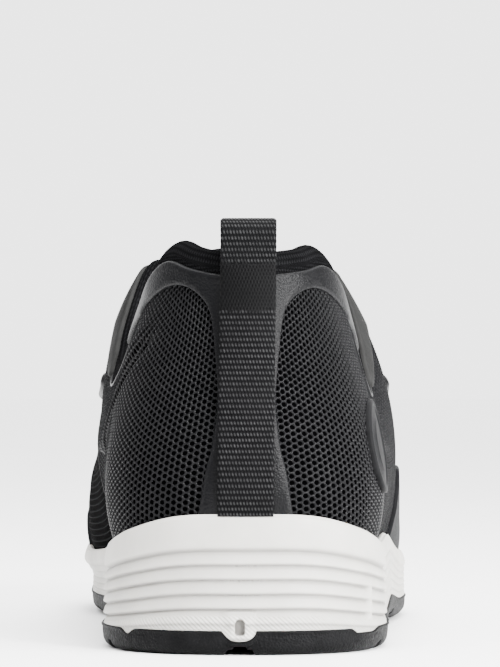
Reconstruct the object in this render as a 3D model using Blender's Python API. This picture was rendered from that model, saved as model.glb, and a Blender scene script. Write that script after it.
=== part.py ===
"""A low safety trainer for the right foot: hollow upper, ribbed midsole, lugged outsole and trim.

Metres, +Z up. The toe points to +Y, the lateral side is +X, and the floor is Z = 0.
Shapes are worked out in the last's own frame, with the heel's rear end at Y = 0, and every
object is then moved so that the sole's outline is centred on the origin.
"""

import math

import bmesh
import bpy
import numpy as np
from mathutils import Vector
from mathutils.geometry import delaunay_2d_cdt

# Driving sizes
LENGTH = 0.300
BALL_WIDTH = 0.1095
HEEL_WIDTH = 0.0855
COLLAR_HEIGHT = 0.1150
COLLAR_WIDTH = 0.076

# Sole
RUBBER = 0.0070
HEEL_STACK = 0.0240
FORE_STACK = 0.0140
TOE_SPRING = 0.0130
ARCH_LIFT = 0.0030
CUP_DEPTH = 0.0165
RIB_COUNT = 5
RIB_DEPTH = 0.0013
RIM_WALL = 0.0016
FLANGE_BULGE = 0.0004
RUBBER_FLARE = 0.0005
SOLE_EDGE_ROUND = 0.0040
FORE_TUCK = 0.0030
GROOVE_DEPTH = 0.0028
GROOVE_WIDTH = 0.0035
CHANNEL_WIDTH = 0.0080
TAB_WIDTH = 0.0072
TAB_HEIGHT = 0.0066
TAB_THICKNESS = 0.0036
TAB_PROUD = 0.0002
SLOT_WIDTH = 0.0022
SLOT_HEIGHT = 0.0048
SLOT_DEPTH = 0.0020
NOTCH_OFFSET = -0.0015

# Upper
WALL = 0.0022
COLLAR_PAD = 0.0088
CUP_INSET = 0.0065
COLLAR_LEAN = 0.0010
THROAT_SWING = 0.0265
OVERLAY = 0.0008
CAP_OVERLAY = 0.0011
TAB_OVERLAY = 0.0018
TONGUE_THICKNESS = 0.0050
TONGUE_TOP_REACH = 0.0160
TONGUE_TOP_RISE = 0.0060
TONGUE_TAIL = 0.0080
TONGUE_TAIL_DROP = 0.0045
INSOLE_THICKNESS = 0.0045
INSOLE_LIP = 0.0040
INSOLE_LIP_WIDTH = 0.0018
INSOLE_DISH = 0.0072

# Trim
WEBBING_WIDTH = 0.0160
WEBBING_THICKNESS = 0.0014
LOOP_RISE = 0.0155
LOOP_TUCK = 0.0150
LACE_WIDTH = 0.0060
LACE_THICKNESS = 0.0022
LACE_ARCH = 0.33
EYELET_RADIUS = 0.0038
EYELET_HOLE = 0.0022
EYELET_THICKNESS = 0.0009
EYELET_BEVEL = 0.0003
EYELET_SETBACK = 0.0075
BADGE_RADIUS = 0.0140
BADGE_THICKNESS = 0.0012
BADGE_LIP = 0.0022
BADGE_DISH = 0.0006

# Clearances between neighbouring solids
GAP = 0.0003
OVERLAY_GAP = 0.0005
TONGUE_GAP = 0.0012
INSOLE_GAP = 0.0018
LACE_GAP = 0.0012
LOOP_GAP = 0.0012

# Mesh resolution
COLUMNS = 66
COLUMN_CROWDING = 0.10
OUTER_ROWS = (0.0, 0.08, 0.18, 0.30, 0.42, 0.55, 0.68, 0.80, 0.90, 1.0)
INNER_ROWS = (1.0, 0.90, 0.78, 0.62, 0.45, 0.25, 0.0)
PATCH_SPACING = 0.0065
BADGE_SPACING = 0.0056
EYELET_SIDES = 8
LACE_STEPS = 3

# The sole's outline, from the heel's rear end round the lateral side to the toe's tip.
# The columns are along, a share of LENGTH; side, a share of the local width; and ball, by which
# that width goes from HEEL_WIDTH (0) to BALL_WIDTH (1).
OUTLINE_LATERAL = (
    (0.000, 0.000, 0.0),
    (0.012, 0.235, 0.0),
    (0.050, 0.395, 0.0),
    (0.110, 0.480, 0.0),
    (0.185, 0.500, 0.0),
    (0.285, 0.500, 0.05),
    (0.385, 0.498, 0.25),
    (0.495, 0.488, 0.6),
    (0.595, 0.493, 0.9),
    (0.665, 0.496, 1.0),
    (0.750, 0.475, 1.0),
    (0.840, 0.402, 1.0),
    (0.920, 0.265, 1.0),
    (0.977, 0.090, 1.0),
    (1.000, -0.100, 1.0),
)
OUTLINE_MEDIAL = (
    (0.012, -0.235, 0.0),
    (0.050, -0.395, 0.0),
    (0.110, -0.480, 0.0),
    (0.185, -0.494, 0.0),
    (0.285, -0.468, 0.05),
    (0.385, -0.436, 0.25),
    (0.485, -0.424, 0.6),
    (0.575, -0.444, 0.9),
    (0.660, -0.484, 1.0),
    (0.740, -0.504, 1.0),
    (0.825, -0.494, 1.0),
    (0.910, -0.425, 1.0),
    (0.975, -0.290, 1.0),
)

# The upper's columns, from the heel's rear (around 0) to the toe's tip (around 1) on each side.
# along, across and height place the opening's edge, as shares of LENGTH, COLLAR_WIDTH and
# COLLAR_HEIGHT. The leans are degrees from upright at the sole and below level at the edge, and
# the reaches are shares of the column's chord. fan turns the edge's direction from square to the
# outline (0) to straight down the column (1). pad is the share of the collar's padding.
COLUMN_COLUMNS = (
    "around along across lateral medial low_lean low_reach high_lean high_reach fan pad"
).split()
COLUMN_TABLE = (
    (0.000, 0.031, 0.000, 0.957, 0.957, 24, 0.36, 96, 0.34, 0.0, 1.0),
    (0.050, 0.040, 0.118, 0.964, 0.964, 24, 0.36, 95, 0.34, 0.0, 1.0),
    (0.100, 0.058, 0.217, 0.974, 0.980, 25, 0.36, 92, 0.33, 0.0, 1.0),
    (0.150, 0.084, 0.292, 0.988, 1.000, 26, 0.36, 88, 0.33, 0.0, 1.0),
    (0.200, 0.118, 0.354, 0.950, 0.965, 27, 0.36, 84, 0.34, 0.0, 1.0),
    (0.250, 0.158, 0.400, 0.868, 0.882, 28, 0.35, 80, 0.35, 0.0, 1.0),
    (0.300, 0.204, 0.448, 0.768, 0.788, 28, 0.34, 76, 0.36, 0.0, 1.0),
    (0.345, 0.250, 0.490, 0.700, 0.730, 26, 0.33, 74, 0.36, 0.0, 1.0),
    (0.385, 0.291, 0.492, 0.722, 0.752, 24, 0.33, 70, 0.35, 0.0, 1.0),
    (0.420, 0.322, 0.458, 0.840, 0.855, 22, 0.32, 66, 0.34, 0.1, 0.75),
    (0.450, 0.345, 0.378, 0.985, 0.995, 20, 0.31, 60, 0.34, 0.2, 0.35),
    (0.480, 0.375, 0.300, 0.990, 0.995, 19, 0.30, 50, 0.35, 0.3, 0.0),
    (0.530, 0.430, 0.232, 0.915, 0.918, 17, 0.29, 36, 0.38, 0.5, 0.0),
    (0.590, 0.500, 0.192, 0.822, 0.825, 15, 0.26, 30, 0.38, 0.7, 0.0),
    (0.655, 0.566, 0.165, 0.728, 0.731, 13, 0.26, 25, 0.38, 0.9, 0.0),
    (0.730, 0.620, 0.138, 0.654, 0.656, 12, 0.28, 19, 0.38, 1.0, 0.0),
    (0.830, 0.645, 0.083, 0.622, 0.623, 10, 0.33, 12, 0.40, 1.0, 0.0),
    (1.000, 0.653, 0.000, 0.614, 0.614, 8, 0.35, 7, 0.45, 1.0, 0.0),
)

# How far the two handles of each column are pushed out from the shoe, as shares of BALL_WIDTH.
PUSH_COLUMNS = ("around", "lateral_low", "lateral_high", "medial_low", "medial_high")
PUSH_TABLE = (
    (0.000, 0.000, 0.000, 0.000, 0.000),
    (0.150, 0.000, 0.000, 0.000, 0.000),
    (0.300, 0.000, 0.005, 0.010, 0.010),
    (0.450, 0.030, 0.030, 0.022, 0.032),
    (0.550, 0.030, 0.020, 0.055, 0.080),
    (0.650, 0.048, 0.002, 0.075, 0.120),
    (0.750, 0.046, 0.015, 0.060, 0.105),
    (0.850, 0.035, 0.020, 0.035, 0.050),
    (1.000, 0.020, 0.000, 0.020, 0.000),
)

# The midsole's rim and its ribs. rim is the share of CUP_DEPTH that the rim stands above the
# footbed. The highest and lowest grooves between the ribs are shares of the wall from the rubber
# to the rim, deep is the share of RIB_DEPTH, and the tucks are the shares of FORE_TUCK by which
# the sole's lower wall stands in from its outline.
RIM_COLUMNS = "around rim top_groove low_groove deep lateral_tuck medial_tuck".split()
RIM_TABLE = (
    (0.000, 1.000, 0.683, 0.180, 1.00, 0.00, 0.0),
    (0.060, 0.963, 0.680, 0.178, 1.00, 0.00, 0.0),
    (0.120, 0.705, 0.672, 0.140, 1.00, 0.00, 0.0),
    (0.180, 0.448, 0.668, 0.100, 1.00, 0.00, 0.0),
    (0.250, 0.350, 0.697, 0.080, 1.00, 0.00, 0.0),
    (0.330, 0.327, 0.700, 0.080, 0.80, 0.05, 0.1),
    (0.420, 0.390, 0.700, 0.090, 0.35, 0.10, 0.5),
    (0.550, 0.497, 0.640, 0.110, 0.25, 0.20, 0.9),
    (0.700, 0.500, 0.600, 0.120, 0.25, 0.20, 1.0),
    (0.850, 0.560, 0.620, 0.120, 0.25, 0.30, 0.8),
    (1.000, 0.720, 0.660, 0.120, 0.25, 0.50, 0.5),
)

# The tread's line above the floor, seen from the side, as shares of LENGTH and of the lift named.
HEEL_FLAT = (0.045, 0.34)
ARCH_AT = 0.45
FORE_FLAT = (0.58, 0.72)
STACK_SLOPE = (0.30, 0.66)


def smoothstep(edge0, edge1, value):
    share = np.clip((value - edge0) / (edge1 - edge0), 0.0, 1.0)
    return share * share * (3.0 - 2.0 * share)


def spline(table, columns, name):
    """A smooth curve through one column of a table, over its first column, level at both ends."""
    knots = np.array([row[0] for row in table])
    values = np.array([row[columns.index(name)] for row in table], float)
    slopes = np.zeros(len(knots))
    slopes[1:-1] = (values[2:] - values[:-2]) / (knots[2:] - knots[:-2])
    if name == "across":
        slopes[0] = (values[1] - values[0]) / (knots[1] - knots[0])
        slopes[-1] = (values[-1] - values[-2]) / (knots[-1] - knots[-2])

    def value_at(x):
        x = np.clip(np.asarray(x, float), knots[0], knots[-1])
        i = np.clip(np.searchsorted(knots, x, side="right") - 1, 0, len(knots) - 2)
        step = knots[i + 1] - knots[i]
        t = (x - knots[i]) / step
        h00 = 2 * t**3 - 3 * t**2 + 1
        h10 = t**3 - 2 * t**2 + t
        h01 = -2 * t**3 + 3 * t**2
        h11 = t**3 - t**2
        bend = h10 * step * slopes[i] + h11 * step * slopes[i + 1]
        return h00 * values[i] + h01 * values[i + 1] + bend

    return value_at


COLUMN = {name: spline(COLUMN_TABLE, COLUMN_COLUMNS, name) for name in COLUMN_COLUMNS[1:]}
PUSH = {name: spline(PUSH_TABLE, PUSH_COLUMNS, name) for name in PUSH_COLUMNS[1:]}
RIM = {name: spline(RIM_TABLE, RIM_COLUMNS, name) for name in RIM_COLUMNS[1:]}


def outline_halves(steps=40):
    """The outline as two dense lines from heel to toe, each with its arc shares: lateral, medial."""

    def place(row):
        width = HEEL_WIDTH + (BALL_WIDTH - HEEL_WIDTH) * row[2]
        return np.array((row[1] * width, row[0] * LENGTH))

    ring = [place(row) for row in OUTLINE_LATERAL] + [place(row) for row in OUTLINE_MEDIAL[::-1]]
    count = len(ring)
    dense = []
    for i in range(count):
        p0, p1, p2, p3 = (ring[(i + k - 1) % count] for k in range(4))
        chords = [np.linalg.norm(b - a) ** 0.5 for a, b in ((p0, p1), (p1, p2), (p2, p3))]
        m1 = chords[1] * ((p1 - p0) / chords[0] - (p2 - p0) / (chords[0] + chords[1])) + (p2 - p1)
        m2 = (p2 - p1) + chords[1] * ((p3 - p2) / chords[2] - (p3 - p1) / (chords[1] + chords[2]))
        for k in range(steps):
            t = k / steps
            dense.append(
                (2 * t**3 - 3 * t**2 + 1) * p1
                + (t**3 - 2 * t**2 + t) * m1
                + (3 * t**2 - 2 * t**3) * p2
                + (t**3 - t**2) * m2
            )
    toe = (len(OUTLINE_LATERAL) - 1) * steps
    lateral = np.array(dense[: toe + 1])
    medial = np.array(dense[toe:] + [dense[0]])[::-1]
    halves = []
    for line in (lateral, medial):
        arcs = np.concatenate(([0.0], np.cumsum(np.linalg.norm(np.diff(line, axis=0), axis=1))))
        halves.append((line, arcs / arcs[-1], arcs[-1]))
    return halves


HALVES = outline_halves()


def outline(around):
    """Points of the outline; around goes from 0 at the heel to 1 (lateral) or -1 (medial) at the toe."""
    around = np.asarray(around, float)
    found = []
    for line, shares, _ in HALVES:
        found.append(np.stack([np.interp(np.abs(around), shares, line[:, k]) for k in (0, 1)], -1))
    return np.where((around >= 0)[..., None], found[0], found[1])


def fold(around):
    """Brings around back into -1 to 1 when a step passes the toe."""
    return (np.asarray(around, float) + 1.0) % 2.0 - 1.0


def outward(around):
    """The outline's outward direction in plan."""
    step = 0.012
    ahead = outline(fold(around + step))
    behind = outline(fold(around - step))
    run = ahead - behind
    run = run / np.linalg.norm(run, axis=-1, keepdims=True)
    return np.stack((run[..., 1], -run[..., 0]), -1)


def tread(y):
    """Height of the tread's line above the floor: flat heel, arch, flat forefoot and toe spring."""
    share = y / LENGTH
    arch = smoothstep(HEEL_FLAT[1], ARCH_AT, share) * (1 - smoothstep(ARCH_AT, FORE_FLAT[0], share))
    toe = np.clip((share - FORE_FLAT[1]) / (1 - FORE_FLAT[1]), 0, 1) ** 1.8
    return ARCH_LIFT * arch + TOE_SPRING * toe


def stack(y):
    """Height of the midsole's floor above the tread's line."""
    slope = smoothstep(STACK_SLOPE[0], STACK_SLOPE[1], y / LENGTH)
    return HEEL_STACK + (FORE_STACK - HEEL_STACK) * slope


def footbed(y):
    """Height of the midsole's floor, on which the insole lies."""
    return stack(y) + tread(y)


def column(around):
    """The four control points of the upper's columns at these places round the outline."""
    around = np.asarray(around, float)
    q = np.abs(around)
    side = np.where(around >= 0, 1.0, -1.0)
    plan = outward(around)
    foot = outline(around) - CUP_INSET * plan
    low = np.stack((foot[..., 0], foot[..., 1], footbed(foot[..., 1]) + GAP), -1)
    height = np.where(around >= 0, COLUMN["lateral"](q), COLUMN["medial"](q)) * COLLAR_HEIGHT
    along = COLUMN["along"](q) * LENGTH
    swing = COLLAR_LEAN - THROAT_SWING * along
    high = np.stack((side * COLUMN["across"](q) * COLLAR_WIDTH + swing, along, height), -1)
    chord = np.linalg.norm(high - low, axis=-1)[..., None]
    down_column = (low - high)[..., :2]
    down_column = down_column / np.linalg.norm(down_column, axis=-1, keepdims=True)
    fan = COLUMN["fan"](q)[..., None]
    heading = plan * (1 - fan) + down_column * fan
    heading = heading / np.linalg.norm(heading, axis=-1, keepdims=True)
    low_lean = np.radians(COLUMN["low_lean"](q))[..., None]
    high_lean = np.radians(COLUMN["high_lean"](q))[..., None]
    rise = np.concatenate((np.sin(low_lean) * plan, np.cos(low_lean)), -1)
    fall = np.concatenate((np.cos(high_lean) * heading, -np.sin(high_lean)), -1)
    low_push = np.where(around >= 0, PUSH["lateral_low"](q), PUSH["medial_low"](q))
    high_push = np.where(around >= 0, PUSH["lateral_high"](q), PUSH["medial_high"](q))
    level_plan = np.concatenate((plan, np.zeros(plan.shape[:-1] + (1,))), -1) * BALL_WIDTH
    low_handle = low + rise * chord * COLUMN["low_reach"](q)[..., None]
    low_handle = low_handle + level_plan * low_push[..., None]
    high_handle = high + fall * chord * COLUMN["high_reach"](q)[..., None]
    high_handle = high_handle + level_plan * high_push[..., None]
    return low, low_handle, high_handle, high


def surface(around, up):
    """Points of the upper's outer face; up is 0 at the footbed and 1 at the opening's edge."""
    p0, p1, p2, p3 = column(around)
    t = np.asarray(up, float)[..., None]
    s = 1 - t
    return s**3 * p0 + 3 * s**2 * t * p1 + 3 * s * t**2 * p2 + t**3 * p3


def normal(around, up):
    """The outer face's outward direction."""
    turn, lift = 0.004, 0.01
    ahead = surface(fold(around + turn), up)
    behind = surface(fold(around - turn), up)
    above = surface(around, np.clip(up + lift, 0, 1))
    below = surface(around, np.clip(up - lift, 0, 1))
    cross = np.cross(ahead - behind, above - below)
    return cross / np.linalg.norm(cross, axis=-1, keepdims=True)


def thickness(around, up):
    """The upper's wall, padded towards the collar."""
    pad = COLUMN["pad"](np.abs(around)) * smoothstep(0.45, 0.95, np.asarray(up, float))
    return WALL + (COLLAR_PAD - WALL) * pad


def offset(around, up, distance):
    """Points at a distance outside the upper's outer face."""
    return surface(around, up) + normal(around, up) * np.asarray(distance, float)[..., None]


def rim_above_tread(around):
    """Height of the midsole's rim above the tread's line."""
    foot = outline(around)
    return stack(foot[..., 1]) + RIM["rim"](np.abs(around)) * CUP_DEPTH


def rim_height(around):
    """Height of the midsole's rim above the floor."""
    return rim_above_tread(around) + tread(outline(around)[..., 1])


def up_at_height(around, height):
    """Where each column of the upper's outer face passes a height."""
    around = np.asarray(around, float)
    low, high = np.zeros(around.shape), np.full(around.shape, 0.6)
    for _ in range(30):
        middle = (low + high) / 2
        above = surface(around, middle)[..., 2] > height
        high = np.where(above, middle, high)
        low = np.where(above, low, middle)
    return (low + high) / 2


def stations(count):
    """Places round the outline, crowded towards the tight curves of heel and toe."""
    even = fold(np.arange(count) * 2.0 / count)
    return even - COLUMN_CROWDING * np.sin(2 * math.pi * even) / (2 * math.pi)


STATIONS = stations(COLUMNS)


def material(name, colour, roughness, metallic=0.0):
    made = bpy.data.materials.new(name)
    made.use_nodes = True
    shader = made.node_tree.nodes["Principled BSDF"]
    shader.inputs["Base Color"].default_value = (*colour, 1.0)
    shader.inputs["Roughness"].default_value = roughness
    shader.inputs["Metallic"].default_value = metallic
    return made


def add_object(name, mesh, finish):
    """A smooth-shaded object in the shoe's frame, under the shoe's parent empty."""
    mesh.materials.append(finish)
    mesh.shade_smooth()
    mesh.set_sharp_from_angle(angle=math.radians(40))
    made = bpy.data.objects.new(name, mesh)
    bpy.context.scene.collection.objects.link(made)
    made.parent = SHOE
    return made


def closed_mesh(name, points, faces):
    """A mesh from points and faces, with its faces turned to point out."""
    mesh = bpy.data.meshes.new(name)
    mesh.from_pydata([tuple(p) for p in points], [], faces)
    work = bmesh.new()
    work.from_mesh(mesh)
    bmesh.ops.recalc_face_normals(work, faces=work.faces)
    if work.calc_volume(signed=True) < 0:
        bmesh.ops.reverse_faces(work, faces=work.faces)
    bmesh.ops.triangulate(work, faces=work.faces)
    work.to_mesh(mesh)
    work.free()
    return mesh


def ring_faces(rings, columns, closed=False):
    """Quads between rings of points, numbered ring after ring."""
    faces = []
    for r in range(rings if closed else rings - 1):
        below, above = r * columns, ((r + 1) % rings) * columns
        for c in range(columns):
            d = (c + 1) % columns
            faces.append((below + c, below + d, above + d, above + c))
    return faces


def ladder_faces(start, columns):
    """Faces that close a ring by crossing from its lateral to its medial half."""
    faces = []
    for c in range(1, columns // 2 - 1):
        faces.append((start + c, start + c + 1, start + columns - c - 1, start + columns - c))
    half = columns // 2
    faces.append((start, start + 1, start + columns - 1))
    faces.append((start + half - 1, start + half, start + half + 1))
    return faces


def sole_ring(inset, height, places=STATIONS):
    """A ring of the sole's outline, inset, at a height above the tread's line."""
    inset = np.broadcast_to(inset, places.shape)
    plan = outline(places) - inset[:, None] * outward(places)
    return np.concatenate((plan, (tread(plan[:, 1]) + height)[:, None]), -1)


def tuck(around):
    """How far the sole's lower wall stands in from its outline."""
    q = np.abs(around)
    return np.where(around >= 0, RIM["lateral_tuck"](q), RIM["medial_tuck"](q)) * FORE_TUCK


def apply_boolean(target, cutters, operation):
    """Cuts or joins with the exact solver and leaves the result in the target's mesh."""
    for cutter in cutters:
        modifier = target.modifiers.new("cut", "BOOLEAN")
        modifier.operation = operation
        modifier.solver = "EXACT"
        modifier.object = cutter
    bpy.context.view_layer.update()
    graph = bpy.context.evaluated_depsgraph_get()
    made = bpy.data.meshes.new_from_object(target.evaluated_get(graph))
    target.modifiers.clear()
    target.data = made
    for cutter in cutters:
        bpy.data.objects.remove(cutter)


def block(name, corners_low, corners_high):
    """A closed prism between a lower and an upper loop of the same number of points."""
    count = len(corners_low)
    faces = ring_faces(2, count)
    faces.append(tuple(range(count))[::-1])
    faces.append(tuple(range(count, 2 * count)))
    mesh = closed_mesh(name, list(corners_low) + list(corners_high), faces)
    made = bpy.data.objects.new(name, mesh)
    bpy.context.scene.collection.objects.link(made)
    made.parent = SHOE
    made.hide_render = True
    made.display_type = "WIRE"
    return made


# Outsole: a rubber plate with rounded lower edges and cut tread

# Tread grooves: each one's place along the sole as a share of LENGTH, and its bend at the middle.
HEEL_GROOVES = ((0.100, -0.004), (0.180, -0.004), (0.260, -0.004))
FORE_GROOVES = (
    (0.500, 0.008),
    (0.575, 0.008),
    (0.650, 0.008),
    (0.725, 0.008),
    (0.800, 0.008),
    (0.875, 0.008),
)


def cross_groove(along, slant):
    """A groove across the tread, bent in the middle by slant, following the tread's line."""
    reach = BALL_WIDTH
    y = along * LENGTH
    half = GROOVE_WIDTH / 2
    lows, highs = [], []
    for x, y_edge in (
        (-reach, y - slant - half),
        (0.0, y + slant - half),
        (reach, y - slant - half),
        (reach, y - slant + half),
        (0.0, y + slant + half),
        (-reach, y - slant + half),
    ):
        level = float(tread(np.array(y))) + GROOVE_DEPTH
        lows.append((x, y_edge, -RUBBER))
        highs.append((x, y_edge, level))
    return block("groove", lows, highs)


def build_outsole():
    edge = SOLE_EDGE_ROUND * (1 + 0.7 * smoothstep(0.38, 0.55, np.abs(STATIONS)))
    profile = (
        (-0.8 * RUBBER_FLARE, RUBBER),
        (-RUBBER_FLARE, 0.60 * RUBBER),
        (0.28 * edge, 0.20 * RUBBER),
        (edge, 0.0),
    )
    rings = [sole_ring(inset + tuck(STATIONS), height) for inset, height in profile]
    top = sole_ring(RUBBER_FLARE + tuck(STATIONS), RUBBER)
    points = np.concatenate([top] + rings)
    faces = ring_faces(len(rings) + 1, COLUMNS)
    faces += ladder_faces(0, COLUMNS)
    faces += ladder_faces(len(rings) * COLUMNS, COLUMNS)
    outsole = add_object("outsole", closed_mesh("outsole", points, faces), BLACK_RUBBER)
    cutters = [cross_groove(*row) for row in HEEL_GROOVES + FORE_GROOVES]
    behind = -SOLE_EDGE_ROUND
    channel_half = CHANNEL_WIDTH / 2
    notch_half = TAB_WIDTH / 2 + GAP
    notch_floor = RUBBER - TAB_HEIGHT / 2 - GAP
    for name, half, ahead, low, high in (
        ("channel", channel_half, HEEL_FLAT[1] * LENGTH, -RUBBER, GROOVE_DEPTH),
        ("notch", notch_half, TAB_THICKNESS + GAP, notch_floor, 2 * RUBBER),
    ):
        loop = [
            (NOTCH_OFFSET - half, behind),
            (NOTCH_OFFSET + half, behind),
            (NOTCH_OFFSET + half, ahead),
            (NOTCH_OFFSET - half, ahead),
        ]
        cutters.append(block(name, [(x, y, low) for x, y in loop], [(x, y, high) for x, y in loop]))
    apply_boolean(outsole, cutters, "DIFFERENCE")
    return outsole


# Midsole: ribbed side wall, cup for the upper, and a small moulded tab at the rear


def groove_height(around, number):
    """Height above the tread's line of one of the grooves between the ribs, counted from the top."""
    q = np.abs(around)
    top, low = RIM["top_groove"](q), RIM["low_groove"](q)
    share = top + (low - top) * number / (RIB_COUNT - 1)
    return RUBBER + share * (rim_above_tread(around) - RUBBER)


def midsole_wall(around, height):
    """Plan inset of the midsole's wall at a height above the tread's line, without the ribs."""
    share = np.clip((height - RUBBER) / (rim_above_tread(around) - RUBBER), 0, 1)
    edge = rim_edge(around)
    foot = outline(around)
    lean = np.sum((foot - edge[..., :2]) * outward(around), -1)
    return lean * share**3.2 + tuck(around) * (1 - smoothstep(0.35, 0.75, share))


def rim_edge(around):
    """The outer edge of the midsole's rim, RIM_WALL outside the upper."""
    height = rim_height(around)
    up = up_at_height(around, height)
    return offset(around, up, np.full(np.shape(around), GAP + RIM_WALL))


def build_midsole():
    q = np.abs(STATIONS)
    plan = outward(STATIONS)
    deep = RIM["deep"](q) * RIB_DEPTH
    rings = []

    def wall_ring(height, sink):
        inset = midsole_wall(STATIONS, height) + sink
        foot = outline(STATIONS) - inset[:, None] * plan
        return np.concatenate((foot, (tread(foot[:, 1]) + height)[:, None]), -1)

    bottom = np.full(COLUMNS, RUBBER + GAP)
    rings.append(wall_ring(bottom, np.full(COLUMNS, GAP)))
    for number in range(RIB_COUNT - 1, -1, -1):
        here = groove_height(STATIONS, number)
        rings.append(wall_ring(here, deep))
        above = groove_height(STATIONS, number - 1)
        if number:
            rings.append(wall_ring((here + above) / 2, np.zeros(COLUMNS)))
    top_groove = groove_height(STATIONS, 0)
    flange = rim_above_tread(STATIONS) - top_groove
    for share, bulge in ((0.25, 1.0), (0.65, 0.5)):
        rings.append(wall_ring(top_groove + share * flange, np.full(COLUMNS, -bulge * FLANGE_BULGE)))
    edge_height = rim_height(STATIONS)
    edge_up = up_at_height(STATIONS, edge_height)
    low_up = up_at_height(STATIONS, edge_height - RIM_WALL / 2)
    rings.append(offset(STATIONS, low_up, np.full(COLUMNS, GAP + RIM_WALL)))
    rings.append(offset(STATIONS, edge_up, np.full(COLUMNS, GAP + RIM_WALL / 2)))
    for share in (1.0, 0.66, 0.33, 0.0):
        rings.append(offset(STATIONS, low_up * share, np.full(COLUMNS, GAP)))
    rings[-1][:, 2] = footbed(rings[-1][:, 1])
    points = np.concatenate(rings)
    faces = ring_faces(len(rings), COLUMNS)
    faces += ladder_faces(0, COLUMNS)
    faces += ladder_faces((len(rings) - 1) * COLUMNS, COLUMNS)
    midsole = add_object("midsole", closed_mesh("midsole", points, faces), WHITE_FOAM)
    apply_boolean(midsole, [rear_tab()], "UNION")
    apply_boolean(midsole, [rear_slot()], "DIFFERENCE")
    return midsole


def rear_tab():
    """The rounded tab that hangs from the midsole's rear edge between the two heel pads."""
    top = RUBBER + TAB_HEIGHT / 2
    low = RUBBER - TAB_HEIGHT / 2
    half = TAB_WIDTH / 2
    loop = []
    for k in range(9):
        angle = math.pi * k / 8
        x = NOTCH_OFFSET - half * math.cos(angle)
        loop.append((x, low + (top - low) * 0.5 * (1 - math.sin(angle))))
    loop += [(NOTCH_OFFSET + half, top), (NOTCH_OFFSET - half, top)]
    front, rear = TAB_THICKNESS, -TAB_PROUD
    return block("tab", [(x, front, z) for x, z in loop], [(x, rear, z) for x, z in loop])


def rear_slot():
    """The upright slot in the middle of the tab."""
    low = RUBBER - TAB_HEIGHT / 4
    loop = [
        (NOTCH_OFFSET - SLOT_WIDTH / 2, low),
        (NOTCH_OFFSET + SLOT_WIDTH / 2, low),
    ]
    for k in range(7):
        angle = math.pi * k / 6
        loop.append(
            (
                NOTCH_OFFSET + SLOT_WIDTH / 2 * math.cos(angle),
                low + SLOT_HEIGHT - SLOT_WIDTH / 2 + SLOT_WIDTH / 2 * math.sin(angle),
            )
        )
    front, rear = SLOT_DEPTH - TAB_PROUD, -SOLE_EDGE_ROUND
    return block("slot", [(x, front, z) for x, z in loop], [(x, rear, z) for x, z in loop])


# Upper: one hollow wall, open at the collar, the throat and underneath


def build_upper():
    rings = []
    for up in OUTER_ROWS:
        rings.append(surface(STATIONS, np.full(COLUMNS, up)))
    full = np.ones(COLUMNS)
    edge = surface(STATIONS, full)
    out = normal(STATIONS, full)
    tangent = edge - surface(STATIONS, full * 0.985)
    tangent = tangent / np.linalg.norm(tangent, axis=-1, keepdims=True)
    radius = thickness(STATIONS, full)[:, None] / 2
    for angle in (45, 90, 135):
        turn = math.radians(angle)
        rings.append(edge - out * radius * (1 - math.cos(turn)) + tangent * radius * math.sin(turn))
    for up in INNER_ROWS:
        level = np.full(COLUMNS, up)
        rings.append(offset(STATIONS, level, -thickness(STATIONS, level)))
    rings[-1][:, 2] = rings[0][:, 2]
    points = np.concatenate(rings)
    faces = ring_faces(len(rings), COLUMNS, closed=True)
    return add_object("upper", closed_mesh("upper", points, faces), BLACK_MESH)


# Overlays cut from the upper's own function


def patch(name, border, high, finish, spacing=PATCH_SPACING, bulge=None):
    """A solid from OVERLAY_GAP to high outside the upper, inside a border of (around, up) points.

    Its inner points are the upper's own, so that the two sets of facets run side by side, unless
    bulge is given: a function of (around, up) that adds to the outer distance, on a finer grid.
    """
    scale = np.array((HALVES[0][2], 0.74 * COLLAR_HEIGHT))
    ring = [Vector(p) for p in (np.array(border) * scale)]
    edge = []
    for a, b in zip(ring, ring[1:] + ring[:1]):
        count = max(1, round((b - a).length / (0.75 * spacing)))
        edge += [a.lerp(b, k / count) for k in range(count)]
    loop = np.array(edge)
    inside = []
    lo, hi = loop.min(0), loop.max(0)
    if bulge:
        grid_x = np.arange(lo[0] + spacing / 2, hi[0], spacing)
        grid_y = np.arange(lo[1] + spacing / 2, hi[1], spacing)
    else:
        grid_x = np.concatenate((STATIONS, STATIONS + 2)) * scale[0]
        grid_y = np.array(OUTER_ROWS) * scale[1]
    for x in grid_x:
        for y in grid_y:
            far = np.min(np.hypot(loop[:, 0] - x, loop[:, 1] - y))
            if in_loop(x, y, loop) and far > 0.2 * spacing:
                inside.append(Vector((x, y)))
    loop_edges = [(i, (i + 1) % len(edge)) for i in range(len(edge))]
    verts, edges, faces, *_ = delaunay_2d_cdt(edge + inside, loop_edges, [], 1, 1e-7)
    flat = np.array([(v.x, v.y) for v in verts]) / scale
    around, up = fold(flat[:, 0]), flat[:, 1]
    extra = bulge(around, up) if bulge else np.zeros(len(flat))
    lower = offset(around, up, np.full(len(flat), OVERLAY_GAP))
    upper = offset(around, up, high + extra)
    count = len(flat)
    solid = [tuple(f) for f in faces] + [tuple(i + count for i in reversed(f)) for f in faces]
    uses = {}
    for face in faces:
        for a, b in zip(face, list(face[1:]) + [face[0]]):
            uses[(a, b)] = uses.get((a, b), 0) + 1
    for a, b in uses:
        if (b, a) not in uses:
            solid.append((b, a, a + count, b + count))
    return add_object(name, closed_mesh(name, np.concatenate((lower, upper)), solid), finish)


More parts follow.
